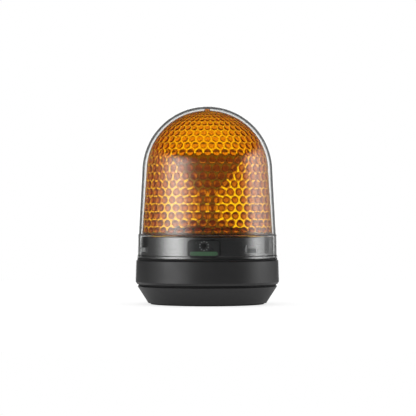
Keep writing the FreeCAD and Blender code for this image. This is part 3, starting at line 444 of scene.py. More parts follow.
def bump(tree, height, strength, depth, surface):
    """A Bump node from a height to a shader's Normal. Depth is in metres."""
    node = tree.nodes.new("ShaderNodeBump")
    link(tree, height, node.inputs["Height"])
    node.inputs["Strength"].default_value = strength
    node.inputs["Distance"].default_value = depth
    link(tree, node.outputs[0], surface.inputs["Normal"])


WANDERS = (0.3, 0.7)              # the part of the slow noise that is used
BLOTCHES = (0.86, 1.12)           # darkest and lightest share of a plastic's colour
RUBBED_SHINE = 0.12               # how much smoother a rubbed edge is
RUBBED_LIGHTER, RUBBED_PALE = 1.5, 0.012
GLOSS_WANDER = 0.06
GRAIN_STRENGTH, RING_STRENGTH = 0.35, 0.3
TOOL_PITCH = 9000.0
METAL_WEAR, METAL_SHADE, METAL_BRIGHT = 0.6, 0.82, 1.15
METAL_GLOSS = (-0.06, 0.08)       # added to a metal's roughness, where its streaks are fine and coarse
CLEAR_GRAIN = {"Grain_Size": 900.0, "Blotch_Size": 45.0}
CLEAR_SHADE, CLEAR_GLOSS = 0.985, (0.7, 1.3)


def new_material(name):
    """A material with nodes, its tree and its main shader."""
    material = bpy.data.materials.new(name)
    material.use_nodes = True
    return material, material.node_tree, material.node_tree.nodes["Principled BSDF"]


def moulded(name, colour, roughness, grain=2600.0, depth=0.00004, wear=0.5, specular=0.5):
    """Plastic, rubber or board: grain in the height, a slow wander in the gloss, and rubbed edges."""
    material, tree, surface = new_material(name)
    grain_node = use_group(tree, GRAIN, Grain_Size=grain)
    wear_node = use_group(tree, WEAR, Amount=wear)
    dark, light = ([min(1.0, share * c) for c in colour] for share in BLOTCHES)
    rubbed = [min(1.0, RUBBED_LIGHTER * c + RUBBED_PALE) for c in colour]
    base = mix_colour(tree, grain_node.outputs["Wander"], dark, light)
    link(tree, mix_colour(tree, wear_node.outputs["Mask"], base, rubbed), surface.inputs["Base Color"])
    gloss = map_range(tree, grain_node.outputs["Wander"], *WANDERS,
                      roughness - GLOSS_WANDER, roughness + GLOSS_WANDER)
    rub = math_node(tree, "MULTIPLY", wear_node.outputs["Mask"], RUBBED_SHINE)
    link(tree, math_node(tree, "SUBTRACT", gloss, rub), surface.inputs["Roughness"])
    bump(tree, grain_node.outputs["Height"], GRAIN_STRENGTH, depth, surface)
    surface.inputs["Specular IOR Level"].default_value = specular
    return material


def metal(name, colour, roughness, depth=0.000006):
    """Turned or rolled metal: tool rings in the height, and streaks in the gloss."""
    material, tree, surface = new_material(name)
    rings = use_group(tree, TURNING, Pitch=TOOL_PITCH)
    wear_node = use_group(tree, WEAR, Amount=METAL_WEAR)
    base = mix_colour(tree, rings.outputs["Streak"], [METAL_SHADE * c for c in colour], colour)
    bright = [min(1.0, METAL_BRIGHT * c) for c in colour]
    link(tree, mix_colour(tree, wear_node.outputs["Mask"], base, bright), surface.inputs["Base Color"])
    gloss = map_range(tree, rings.outputs["Streak"], *WANDERS, *(roughness + more for more in METAL_GLOSS))
    link(tree, gloss, surface.inputs["Roughness"])
    surface.inputs["Metallic"].default_value = 1.0
    bump(tree, rings.outputs["Height"], RING_STRENGTH, depth, surface)
    return material


def clear(name, colour, roughness, ior, shade, dye=None):
    """Clear plastic. Shadow rays pass through it tinted, so that what is inside is lit. A dye soaks up
    light by the millimetre, so that thick places are deeper in colour than thin ones."""
    material, tree, surface = new_material(name)
    wander = use_group(tree, GRAIN, **CLEAR_GRAIN).outputs["Wander"]
    base = mix_colour(tree, wander, [CLEAR_SHADE * c for c in colour], colour)
    link(tree, base, surface.inputs["Base Color"])
    gloss = map_range(tree, wander, *WANDERS, *(roughness * share for share in CLEAR_GLOSS))
    link(tree, gloss, surface.inputs["Roughness"])
    surface.inputs["IOR"].default_value = ior
    surface.inputs["Transmission Weight"].default_value = 1.0
    shadow = tree.nodes.new("ShaderNodeBsdfTransparent")
    shadow.inputs["Color"].default_value = (*shade, 1)
    path = tree.nodes.new("ShaderNodeLightPath")
    mixed = tree.nodes.new("ShaderNodeMixShader")
    link(tree, path.outputs["Is Shadow Ray"], mixed.inputs[0])
    link(tree, surface.outputs[0], mixed.inputs[1])
    link(tree, shadow.outputs[0], mixed.inputs[2])
    link(tree, mixed.outputs[0], tree.nodes["Material Output"].inputs["Surface"])
    if dye:
        soak = tree.nodes.new("ShaderNodeVolumeAbsorption")
        soak.inputs["Color"].default_value = (*dye[0], 1)
        soak.inputs["Density"].default_value = dye[1]
        link(tree, soak.outputs[0], tree.nodes["Material Output"].inputs["Volume"])
    return material


# %% [markdown]
# ## The finishes of the parts
# Each material slot of the CAD model gets one finish. Plastics, rubber and boards share a recipe, metals
# share another, and clear parts a third, so only colour, gloss and wear are written here. A CAD part
# keeps its mesh and its place, and only its material is exchanged.

# %% The finishes
FINISHES = {
    "grey_abs": moulded("Housing_Black", (0.011, 0.011, 0.012), 0.40, wear=0.5, specular=1.0),
    "black_abs": moulded("Works_Black", (0.016, 0.016, 0.017), 0.36, wear=0.3),
    "clear_globe": clear("Globe_Clear", (0.985, 0.99, 0.985), 0.012, 1.52, (0.92, 0.93, 0.92)),
    "amber_lens": clear("Lens_Amber", (1.0, 0.97, 0.80), 0.02, 1.585, (0.95, 0.94, 0.90),
                        ((0.9945, 0.9040, 0.0), 2200.0)),
    "black_rubber": moulded("Seal_Rubber", (0.016, 0.016, 0.016), 0.62, wear=0.2),
    "foam_rubber": moulded("Gasket_Foam", (0.022, 0.022, 0.022), 0.85, grain=1500.0, depth=0.0001, wear=0.1),
    "badge_label": moulded("Badge_Grey", (0.030, 0.031, 0.032), 0.30, wear=0.2),
    "brass": metal("Insert_Brass", (0.80, 0.60, 0.28), 0.32),
    "bronze": metal("Bush_Bronze", (0.58, 0.39, 0.22), 0.48),
    "acetal": moulded("Bearing_Acetal", (0.74, 0.74, 0.70), 0.38, wear=0.1),
    "gear_acetal": moulded("Gear_Acetal", (0.70, 0.69, 0.64), 0.36, wear=0.1),
    "spring_steel": metal("Ground_Steel", (0.48, 0.48, 0.49), 0.28),
    "plated_steel": metal("Zinc_Plate", (0.66, 0.67, 0.68), 0.33),
    "aluminium": metal("Sink_Aluminium", (0.78, 0.78, 0.79), 0.36),
    "led_board": moulded("Lamp_Board_White", (0.78, 0.78, 0.75), 0.42, wear=0.0),
    "led_chip": moulded("Chip_Phosphor", (0.80, 0.66, 0.14), 0.35, wear=0.0),
    "clear_optic": clear("Optic_Acrylic", (0.97, 0.97, 0.97), 0.01, 1.49, (0.9, 0.9, 0.9)),
    "mirror_film": metal("Mirror_Film", (0.90, 0.90, 0.89), 0.07, depth=0.000001),
    "circuit_board": moulded("Board_Green", (0.03, 0.15, 0.06), 0.35, wear=0.0),
    "capacitor_sleeve": moulded("Sleeve_Blue_Black", (0.04, 0.05, 0.11), 0.30, wear=0.0),
    "ferrite": moulded("Ferrite_Grey", (0.07, 0.07, 0.07), 0.6),
    "chip_epoxy": moulded("Chip_Epoxy", (0.025, 0.025, 0.025), 0.5),
    "green_terminal": moulded("Terminal_Green", (0.05, 0.26, 0.10), 0.38),
    "lead_sleeve": moulded("Lead_Red", (0.42, 0.03, 0.025), 0.42),
}

slot_of = {row["node"]: row["material_slot"] for row in frame["record"]["subparts"]}
for node, thing in frame["nodes"].items():
    thing.data.materials.clear()
    thing.data.materials.append(FINISHES[slot_of[node]])
print(len(FINISHES), "finishes on", len(frame["nodes"]), "CAD nodes")


# %% [markdown]
# ## The polished collar
# The housing's collar stands under the clear skirt. Its mould is polished there, so it shines where the
# rest of the housing is matt. A second material would need the mesh to be cut, and the mesh is the CAD's.
# A mask by height in the same material does it, and the shine is a clear coat over the plastic.

# %% Polished collar
COLLAR_FOOT = (0.0309, 0.0311)
COLLAR_GLOSS, COAT_GLOSS, COAT_INDEX = 0.16, 0.06, 2.1


def regloss(tree, surface, mask, roughness):
    """Gives a shader another roughness where a mask is 1."""
    before = surface.inputs["Roughness"].links[0].from_socket
    link(tree, mix_value(tree, mask, before, roughness), surface.inputs["Roughness"])


def polish_collar(material):
    """Adds a coat and a finer gloss above the foot of the collar."""
    tree = material.node_tree
    surface = tree.nodes["Principled BSDF"]
    collar = map_range(tree, split_axes(tree, object_place(tree))["Z"], *COLLAR_FOOT)
    regloss(tree, surface, collar, COLLAR_GLOSS)
    link(tree, collar, surface.inputs["Coat Weight"])
    surface.inputs["Coat Roughness"].default_value = COAT_GLOSS
    surface.inputs["Coat IOR"].default_value = COAT_INDEX


polish_collar(FINISHES["grey_abs"])
print("collar polished above", 1000 * COLLAR_FOOT[0], "mm")

# %% [markdown]
# ## The metallised frame ends
# The reflector is metallised after it is put together, so the film also covers the outer faces of the
# frame's two ends. They mirror the amber lens from inside, and that is why the V looks brown and not
# black. The mask asks two things of a point: that it faces squarely along the frame, which stands a
# little round from the front, and that it is above the frame's foot.

# %% Metallised frame ends
FRAME_TURN = math.radians(14)
FRAME_FOOT, FILM_FADE = 0.052, 0.001
FACES_SQUARELY = (0.97, 0.99)
FILM_COLOUR, FILM_GLOSS = (0.86, 0.86, 0.85), 0.12


def metallise_frame_ends(material):
    """Lays a metal film over the faces that look along the frame."""
    tree = material.node_tree
    surface = tree.nodes["Principled BSDF"]
    normal = tree.nodes.new("ShaderNodeTexCoord").outputs["Normal"]
    facing = direction_test(tree, normal, (math.sin(FRAME_TURN), -math.cos(FRAME_TURN), 0))
    squarely = map_range(tree, math_node(tree, "ABSOLUTE", facing), *FACES_SQUARELY)
    height = split_axes(tree, object_place(tree))["Z"]
    film = math_node(tree, "MULTIPLY", squarely,
                     map_range(tree, height, FRAME_FOOT, FRAME_FOOT + FILM_FADE))
    plastic = surface.inputs["Base Color"].links[0].from_socket
    link(tree, mix_colour(tree, film, plastic, FILM_COLOUR), surface.inputs["Base Color"])
    regloss(tree, surface, film, FILM_GLOSS)
    link(tree, film, surface.inputs["Metallic"])


metallise_frame_ends(FINISHES["black_abs"])
print("frame ends metallised above", 1000 * FRAME_FOOT, "mm")

# %% [markdown]
# ## Cloudy lenslets
# The lens's tool was eroded where the lenslets are and polished elsewhere. So they are a little cloudy,
# and glow an even brown beside the clearer flats. A rough surface alone would only blur what is behind.
# Here a share of the light is scattered instead, forward and back. The mesh carries three masks: which
# faces are lenslets, how cloudy each is, and which are the flange, painted dark as shade where it sits
# on its black seal.

# %% Cloudy lenslets
LENSLET_GLOW = (0.80, 0.24, 0.06)
FLAT_GLOW = (1.0, 0.62, 0.15)
LENSLET_TINT = (1.0, 0.56, 0.25)
# Painted shade: a dark brown for the flange faces, where the lens sits on its seal
SEAT_PAINTED_SHADE = (0.10, 0.03, 0.01)
LENSLET_GLOSS, CLOUD_TO_GLOSS = 0.045, 8.0


def mesh_mask(tree, label):
    """A mask that the mesh carries, one number for each face."""
    node = tree.nodes.new("ShaderNodeAttribute")
    node.attribute_name = label
    return node.outputs["Fac"]


def cloud_lenslets(material):
    """Mixes a scattering shader into the clear one, by the masks of the mesh."""
    tree = material.node_tree
    surface = tree.nodes["Principled BSDF"]
    lenslet, cloud, seat_shade = (mesh_mask(tree, label) for label in ("Lenslet", "Cloud", "Seat_Shade"))
    clear_colour = surface.inputs["Base Color"].links[0].from_socket
    tinted = mix_colour(tree, lenslet, clear_colour, LENSLET_TINT)
    # Painted shade: the flange faces below the seat's top take a dark brown base colour
    link(tree, mix_colour(tree, seat_shade, tinted, SEAT_PAINTED_SHADE), surface.inputs["Base Color"])
    regloss(tree, surface, math_node(tree, "MULTIPLY", cloud, CLOUD_TO_GLOSS, clamp=True), LENSLET_GLOSS)
    glow = mix_colour(tree, lenslet, FLAT_GLOW, LENSLET_GLOW)
    scatter, clouded = tree.nodes.new("ShaderNodeMixShader"), tree.nodes.new("ShaderNodeMixShader")
    for number, kind in ((1, "ShaderNodeBsdfDiffuse"), (2, "ShaderNodeBsdfTranslucent")):
        side = tree.nodes.new(kind)
        link(tree, glow, side.inputs["Color"])
        link(tree, side.outputs[0], scatter.inputs[number])
    after = surface.outputs[0].links[0].to_socket
    link(tree, cloud, clouded.inputs[0])
    link(tree, surface.outputs[0], clouded.inputs[1])
    link(tree, scatter.outputs[0], clouded.inputs[2])
    link(tree, clouded.outputs[0], after)


cloud_lenslets(FINISHES["amber_lens"])
print("lens finish reads the masks Lenslet, Cloud and Seat")

# %% [markdown]
# ## The amber lens
# On the real lens the outside is smooth, and the inside is covered with small round lenslets in a
# close-packed pattern, the same number in every ring. They could be faked with a bump texture, but light
# bends through them, and their shape shows at the rim and in the shadows. So they are built. Each cell
# of the pattern is a disc inside a hexagon, with its vertices laid out so that the disc's edge is crisp.
# The cells are then wrapped onto the inside of the wall, and each disc swells inward like a small lens.


# %% Lens profile
def arc_points(radius, centre_height, start, end, count):
    """Points (radius, height) on an arc about the axis, between two angles above level, in degrees."""
    angles = np.radians(np.linspace(start, end, count))
    return [(radius * math.cos(a), centre_height + radius * math.sin(a)) for a in angles]


WALL = 1.35                      # thickness between lenslets, in millimetres as all that follows
BULGE = 1.00                     # how far a lenslet swells past the wall's inner face
LENSLET_CLOUD = (0.46, 0.26)     # share of light that a lenslet scatters, on the wall and over the dome
FLAT_CLOUD = 0.07                # the same between the lenslets
LENS_CENTRE, LENS_RADIUS = 92.4, 42.5
LENS_FOOT = (45.4, 48.8)
# height below which the flange gets the painted shade of its seat
SEAT_SHADE_TOP = 49.1
PER_RING = 43
PATTERN_SHIFT = -0.37            # turns the pattern, in lenslets
WALL_BELOW_FOOT = 0.2
CROWN_ANGLE = 89.6
REACH_FOR_NORMAL = 0.05


class Wall:
    """A line of (radius, height) points that can be asked for the point and normal at a run along it."""

    def __init__(self, points):
        self.points = np.array(points, float)
        steps = np.linalg.norm(np.diff(self.points, axis=0), axis=1)
        self.run = np.concatenate([[0], np.cumsum(steps)])
        self.length = self.run[-1]

    def at(self, run):
        """The point at a run."""
        return np.array([np.interp(run, self.run, self.points[:, k]) for k in (0, 1)])

    def inward(self, run):
        """The direction that points into the lens at a run."""
        run = min(max(run, REACH_FOR_NORMAL), self.length - REACH_FOR_NORMAL)
        ahead, behind = self.at(run + REACH_FOR_NORMAL), self.at(run - REACH_FOR_NORMAL)
        along = (ahead - behind) / np.linalg.norm(ahead - behind)
        return np.array([-along[1], along[0]])


inner_radius = LENS_RADIUS - WALL
inner_wall = Wall([(LENS_FOOT[0] - WALL, LENS_FOOT[1] - WALL_BELOW_FOOT)]
                  + arc_points(inner_radius, LENS_CENTRE, 0, CROWN_ANGLE, 240))
print(f"inner wall runs {inner_wall.length:.1f} mm from rim to crown")

# %% Lenslet rows
FIRST_ROW = 2.9          # run of the lowest row's middle, which the rim cuts short
ROW_START = 7.45         # run of the next row
ROW_PITCH = 5.42         # on the straight wall
CROWN_PITCH = 3.7        # nearest the crown
CROWN_SHARE = 0.8        # share of the dome over which one pitch turns into the other
LAST_ROW_ANGLE = 76.0


def lenslet_rows():
    """Runs of the rows' middles: even on the straight wall, and closing up over the dome."""
    straight = inner_wall.run[1]
    runs, run = [FIRST_ROW], ROW_START
    while True:
        runs.append(run)
        over = max(0.0, (run - straight) / (math.radians(90) * inner_radius))
        if math.degrees(over * math.pi / 2) > LAST_ROW_ANGLE:
            return runs
        run += ROW_PITCH + (CROWN_PITCH - ROW_PITCH) * min(1.0, over / CROWN_SHARE)


rows = lenslet_rows()
print(len(rows), "rows of", PER_RING, "lenslets")

# %% [markdown]
# ## The pattern's grid
# Each cell is laid out on a grid of 12 steps across and 6 steps up, so that neighbouring cells agree on
# the points of their common border without any rounding. Every second row is shifted by half a cell,
# which packs the lenslets closely.

# %% Pattern grid
ACROSS, UP = 12, 6
BORDER = [(6, 0), (6, 2), (3, 3), (0, 4), (-3, 3), (-6, 2), (-6, 0), (-6, -2), (-3, -3), (0, -4),
          (3, -3), (6, -2)]
EDGE_OF_ROW = [(-6, 2), (-3, 3), (0, 4), (3, 3)]      # the part of a cell's border that ends the pattern
ROW_NUMBERS = np.concatenate([[-1], np.arange(len(rows)), [len(rows)]])
RIM_MARGIN = 0.3                 # the lowest border stops this far from the wall's end
BELOW_FIRST = (rows[0] - RIM_MARGIN) / (4 / UP)
ROW_RUNS = np.concatenate([[rows[0] - BELOW_FIRST], rows, [rows[-1] + (rows[-1] - rows[-2])]])

# %% Shape of one lenslet
LENSLET_SIZE = 0.42              # radius of a disc, in cells
DISC_RINGS = [0.30, 0.62, 0.86, 1.0]
DISC_STEPS = 12
CAP = 0.93                       # how much of a half ball the swell takes
CAP_EDGE = math.sqrt(1 - CAP**2)
ROW_CLOSENESS = 0.866            # height of a close-packed row beside its width
FULL_PITCH = 4.2                 # narrower cells than this swell less
DOME_LOSS, DOME_LOSS_BY = 0.5, 0.4
HAZE_FADES_BY = 0.3


def row_shape(row):
    """How far the lenslets of a row swell, as a share, and how cloudy they are."""
    pitch = 2 * math.pi * inner_wall.at(rows[row])[0] / PER_RING
    over = max(0.0, (rows[row] - inner_wall.run[1]) / (inner_wall.length - inner_wall.run[1]))
    tall = min(1.0, pitch / FULL_PITCH) * (1.0 - DOME_LOSS * min(1.0, over / DOME_LOSS_BY))
    return tall, float(np.interp(over, [0.0, HAZE_FADES_BY], LENSLET_CLOUD))


for row in (0, len(rows) - 1):
    print("row", row, "swells by", round(BULGE * row_shape(row)[0], 2), "mm")


# %% Faces between rings
def revolve_faces(mesh_faces, ring_a, ring_b, flip=False):
    """Joins two rings of vertex numbers with quads, or a ring with one point with triangles."""
    count = max(len(ring_a), len(ring_b))
    for i in range(count):
        j = (i + 1) % count
        face = [ring_a[i % len(ring_a)], ring_a[j % len(ring_a)],
                ring_b[j % len(ring_b)], ring_b[i % len(ring_b)]]
        face = list(dict.fromkeys(face))
        mesh_faces.append(face[::-1] if flip else face)


# %% The lens as it grows
class LensSurface:
    """Points and faces of the lens, and how cloudy each face is."""

    def __init__(self):
        self.points, self.faces, self.border, self.cloud = [], [], {}, {}

    def add(self, point):
        """Adds a point and gives its number."""
        self.points.append(point)
        return len(self.points) - 1

    def on_pattern(self, across, up, swell=0.0):
        """Adds a point of the inner wall, from its place on the grid."""
        run = float(np.interp(up / UP, ROW_NUMBERS, ROW_RUNS))
        radius, height = inner_wall.at(run) + inner_wall.inward(run) * swell
        turn = 2 * math.pi * (across / ACROSS + PATTERN_SHIFT) / PER_RING
        return self.add((radius * math.cos(turn) * MM, radius * math.sin(turn) * MM, height * MM))

    def on_border(self, across, up):
        """Number of a point that neighbouring cells share."""
        key = (across % (ACROSS * PER_RING), up)
        if key not in self.border:
            self.border[key] = self.on_pattern(across, up)
        return self.border[key]

    def ring(self, radius, height, like):
        """Adds a ring whose points stand in line with those of another ring."""
        made = []
        for number in like:
            x, y, _ = self.points[number]
            reach = math.hypot(x, y)
            made.append(self.add((x / reach * radius * MM, y / reach * radius * MM, height * MM)))
        return made

    def grow(self, start, line, tip, like, flip=False):
        """Adds faces from a ring through a line of (radius, height) points to a tip on the axis. All new
        rings stand in line with the points of one ring."""
        before = start
        for radius, height in line:
            ring = self.ring(radius, height, like)
            revolve_faces(self.faces, before, ring, flip)
            before = ring
        revolve_faces(self.faces, before, [self.add((0, 0, tip * MM))], flip)


# %% One cell of the pattern
def add_lenslet(lens_surface, across, up, tall, haze):
    """A disc that swells inward, and the flat round it out to the cell's border."""
    rings = []
    for share in DISC_RINGS:
        ring = []
        for step in range(DISC_STEPS):
            turn = 2 * math.pi * step / DISC_STEPS
            reach = LENSLET_SIZE * share
            swell = BULGE * tall * (math.sqrt(1 - (CAP * share) ** 2) - CAP_EDGE) / (1 - CAP_EDGE)
            sideways = ACROSS * reach * math.cos(turn)
            upward = UP * reach * math.sin(turn) / ROW_CLOSENESS
            ring.append(lens_surface.on_pattern(across + sideways, up + upward, swell))
        rings.append(ring)
    middle = [lens_surface.on_pattern(across, up, BULGE * tall)]
    edge = [lens_surface.on_border(across + sideways, up + upward) for sideways, upward in BORDER]
    faces, cloud = lens_surface.faces, lens_surface.cloud
    first = len(faces)
    revolve_faces(faces, rings[0], middle)
    for inner_ring, outer_ring in zip(rings, rings[1:]):
        revolve_faces(faces, outer_ring, inner_ring)
    cloud.update({number: haze for number in range(first, len(faces))})
    first = len(faces)
    revolve_faces(faces, edge, rings[-1])
    cloud.update({number: FLAT_CLOUD for number in range(first, len(faces))})


def cell_middle(row, number):
    """Where a cell's middle is on the grid."""
    return ACROSS * number + (ACROSS // 2 if row % 2 else 0), UP * row


def pattern_edge(lens_surface, row, side):
    """The ring of points at which the pattern ends, below the lowest row or above the highest."""
    ring = []
    for number in range(PER_RING):
        across, up = cell_middle(row, number)
        ring += [lens_surface.on_border(across + sideways, up + side * upward)
                 for sideways, upward in EDGE_OF_ROW]
    return ring


# %% [markdown]
# ## The outside of the lens
# The outside is smooth: a flange that sits on the seal, a wall that leans in a little, a dome, and a pip
# where the plastic was let into the mould. It starts from the pattern's lowest ring, so that inside and
# outside close without a seam.

# %% Outline of the lens
FLANGE = [(46.8, 47.6), (46.8, 48.7), (45.65, 48.8), (45.4, 49.05), (45.38, 49.6)]
LEANING_WALL = [(44.66, 60.0), (43.97, 70.4), (43.23, 81.5)]
PIP = [(2.0, LENS_TOP - 0.25), (1.75, LENS_TOP), (1.0, LENS_TOP)]
RIM_INSIDE = (LENS_FOOT[0] - WALL - 0.6, LENS_FOOT[1] - 1.2)


def build_lens():
    """The lens as one closed mesh, and its masks: one number for each face."""
    made = LensSurface()
    for row in range(len(rows)):
        tall, haze = row_shape(row)
        for number in range(PER_RING):
            add_lenslet(made, *cell_middle(row, number), tall, haze)
    low_edge, high_edge = pattern_edge(made, 0, -1), pattern_edge(made, len(rows) - 1, 1)
    rim = made.ring(*RIM_INSIDE, low_edge)
    revolve_faces(made.faces, rim, low_edge)
    dome = arc_points(LENS_RADIUS, LENS_CENTRE, 0, 87.0, 34)
    made.grow(rim, FLANGE + LEANING_WALL + dome + PIP, LENS_TOP, low_edge, flip=True)
    top_of_edge = made.points[high_edge[2]][2] / MM
    last_angle = math.degrees(math.asin((top_of_edge - LENS_CENTRE) / inner_radius))
    crown = arc_points(inner_radius, LENS_CENTRE, last_angle + 2, 88.0, 5)
    made.grow(high_edge, crown, LENS_CENTRE + inner_radius, high_edge)
    cloud = [made.cloud.get(number, 0.0) for number in range(len(made.faces))]
    lenslet = [1.0 if share > FLAT_CLOUD else 0.0 for share in cloud]
    # mask of the flange faces that get the painted shade of the seat
    seat_shade = [1.0 if all(made.points[n][2] < SEAT_SHADE_TOP * MM for n in face) else 0.0 for face in made.faces]
    return made.points, made.faces, {"Cloud": cloud, "Lenslet": lenslet, "Seat_Shade": seat_shade}


# %% Mesh objects
SHARP_EDGE = 40.0      # degrees, above which an edge is drawn sharp


def mesh_object(name, points, faces, material, smooth_angle, masks=None):
    """An object from points and faces, closed up, its normals made to agree, and shaded smooth. Each
    mask has a name and one number for each face, for the material to read."""
    mesh = bpy.data.meshes.new(name)
    mesh.from_pydata(points, [], faces)
    made = bmesh.new()
    made.from_mesh(mesh)
    for label, numbers in (masks or {}).items():
        layer = made.faces.layers.float.new(label)
        for face, number in zip(made.faces, numbers):
            face[layer] = number
    bmesh.ops.remove_doubles(made, verts=made.verts, dist=1e-7)
    bmesh.ops.recalc_face_normals(made, faces=made.faces)
    open_edges = sum(1 for e in made.edges if len(e.link_faces) != 2)
    made.to_mesh(mesh)
    made.free()
    mesh.materials.append(material)
    thing = bpy.data.objects.new(name, mesh)
    bpy.context.scene.collection.objects.link(thing)
    mesh.shade_smooth()
    mesh.set_sharp_from_angle(angle=math.radians(smooth_angle))
    print(f"{name}: {len(mesh.polygons)} faces, {open_edges} open edges")
    return thing


lens_points, lens_faces, lens_masks = build_lens()
lens = mesh_object("Amber_Lens", lens_points, lens_faces, FINISHES["amber_lens"], SHARP_EDGE, lens_masks)
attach(lens, "globe_unit")
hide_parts("signal_lens")

# %% [markdown]
# ## The clear globe
# The globe is a thin clear shell, and its look is all in how its edge bends light. A facetted shell would
# show its facets there, so it is turned again here with many smooth segments, from the CAD's own radii.


# %% Clear globe
SEGMENTS = 192
SHARP_TURNED_EDGE = 32.0


def turned(name, outline, material):
    """A closed shell turned about the vertical from an outline of (radius, height) points."""
    points, faces, rings = [], [], []
    for radius, height in outline:
        if radius < 1e-6:
            points.append((0, 0, height * MM))
            rings.append([len(points) - 1])
            continue
        ring = []
        for i in range(SEGMENTS):
            turn = 2 * math.pi * i / SEGMENTS
            points.append((radius * math.cos(turn) * MM, radius * math.sin(turn) * MM, height * MM))
            ring.append(len(points) - 1)
        rings.append(ring)
    for a, b in zip(rings, rings[1:] + rings[:1]):
        if len(a) > 1 or len(b) > 1:
            revolve_faces(faces, a, b)
    return mesh_object(name, points, faces, material, SHARP_TURNED_EDGE)


# %% Outline of the globe
GLOBE_RADIUS, GLOBE_WALL, GLOBE_CENTRE = 45.95, 1.8, 92.1
WALL_FOOT_RADIUS, WALL_FOOT = 48.35, 48.3
LIP = [(46.9, 32.1), (49.15, 32.1), (49.3, 32.25), (49.3, 33.6), (49.1, 33.9), (48.9, 34.15)]
SKIRT = [(48.893, 34.6), (48.706, 47.3), (48.7, 47.7), (48.55, 48.05), (WALL_FOOT_RADIUS, WALL_FOOT)]
INSIDE_WALL = [(44.72, 81.3), (45.3, 70.5), (45.87, 59.7), (46.45, 48.8), (46.9, 48.8)]

outline = LIP + SKIRT
for share in (0.25, 0.5, 0.75):
    outline.append((WALL_FOOT_RADIUS - (WALL_FOOT_RADIUS - GLOBE_RADIUS) * share,
                    WALL_FOOT + (GLOBE_CENTRE - WALL_FOOT) * share))
outline += arc_points(GLOBE_RADIUS, GLOBE_CENTRE, 0, 88.5, 60) + [(0, GLOBE_CENTRE + GLOBE_RADIUS)]
outline += [(0, GLOBE_CENTRE + GLOBE_RADIUS - GLOBE_WALL)]
outline += arc_points(GLOBE_RADIUS - GLOBE_WALL, GLOBE_CENTRE, 88.5, 0, 60)
outline += INSIDE_WALL
globe = turned("Clear_Globe", outline, FINISHES["clear_globe"])
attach(globe, "globe_unit")
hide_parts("globe")

# %% [markdown]
# ## Signs under the skirt
# A real beacon of this kind carries a small sign on its collar, behind the clear skirt: a plate framed
# by a dark band of painted shade along its shut line, a symbol and a coloured strip. Here the symbol is
# the plain one for a lamp, a disc with rays, and the strip is bare. Each sign is cut as a thin curved
# patch, so it follows the collar and catches light at its edge.


# %% Patches on a round wall
def on_wall(along, height, reach):
    """A point on a round wall. Along is the arc length from the front, positive to the right."""
    turn = along / reach - math.pi / 2
    return (reach * math.cos(turn) * MM, reach * math.sin(turn) * MM, height * MM)


def patch(name, lines, inner, outer, body, finish, columns=6):
    """A raised patch from lines of (height, left, right), between two radii."""
    points, faces, grids = [], [], []
    for reach in (inner, outer):
        grid = []
        for height, left, right in lines:
            row = []
            for i in range(columns + 1):
                along = (left + (right - left) * i / columns) * reach / outer
                points.append(on_wall(along, height, reach))
                row.append(len(points) - 1)
            grid.append(row)
        grids.append(grid)
    low, high = grids
    for grid in (low, high):
        for a, b in zip(grid, grid[1:]):
            for i in range(columns):
                face = [a[i], a[i + 1], b[i + 1], b[i]]
                faces.append(face if grid is high else face[::-1])
    rim = [[g[0][i] for i in range(columns + 1)] + [row[-1] for row in g[1:]]
           + [g[-1][i] for i in range(columns - 1, -1, -1)] + [row[0] for row in g[-2:0:-1]] for g in grids]
    revolve_faces(faces, rim[0], rim[1])
    thing = mesh_object(name, points, faces, finish, SHARP_EDGE)
    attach(thing, body)
    return thing


def rounded_lines(middle, height, width, tall, corner, steps=5):
    """Lines of a rectangle with round corners, for patch()."""
    lines = []
    for sign in (-1, 1):
        turns = [math.pi / 2 * i / steps for i in range(steps + 1)]
        for turn in turns if sign < 0 else turns[::-1]:
            rise = corner - corner * math.cos(turn)
            inset = corner - corner * math.sin(turn)
            lines.append((height + sign * (tall / 2 - rise),
                          middle - width / 2 + inset, middle + width / 2 - inset))
    return lines


# %% Sign plate
PLATE_FACE = 46.5                    # radius of the plate's outer face
SUNK, PROUD, STRIP_PROUD = 0.1, 0.08, 0.10
PLATE_HEIGHT, PLATE_CORNER = 39.2, 2.4
PLATE_WIDTH, PLATE_TALL = 22.2, 12.0
SHUT_LINE, SHUT_LINE_FLOOR = 0.55, 46.15
CORNER_STEPS, LINE_STEP = 6, 1.4
# Pale grey: print on the lamp symbol's rays, and the painted highlight of the turn mark
SIGN_INK_AND_HIGHLIGHT = moulded("Sign_Ink_And_Highlight", (0.30, 0.31, 0.31), 0.5, wear=0.0)
# Near black with little shine: print on the lamp symbol's disc, and painted shade along the plate's shut line
SIGN_DARK_AND_GAP_SHADE = moulded("Sign_Dark_And_Gap_Shade", (0.004, 0.004, 0.004), 0.7, wear=0.0, specular=0.15)
SIGN_GREEN = moulded("Sign_Green", (0.10, 0.24, 0.12), 0.42, wear=0.0)


def plate_loop(grow):
    """Points (along, height) on a rectangle with round corners, evenly close together."""
    loop = []
    for k in range(4):
        x = (PLATE_WIDTH / 2 - PLATE_CORNER) * (1 if k in (0, 3) else -1)
        z = (PLATE_TALL / 2 - PLATE_CORNER) * (1 if k in (0, 1) else -1)
        for i in range(CORNER_STEPS + 1):
            turn = math.pi / 2 * (k + i / CORNER_STEPS)
            loop.append((x + (PLATE_CORNER + grow) * math.cos(turn),
                         PLATE_HEIGHT + z + (PLATE_CORNER + grow) * math.sin(turn)))
    dense = []
    for (a, b), (c, d) in zip(loop, loop[1:] + loop[:1]):
        parts = max(1, round(math.hypot(c - a, d - b) / LINE_STEP))
        dense += [(a + (c - a) * i / parts, b + (d - b) * i / parts) for i in range(parts)]
    return dense


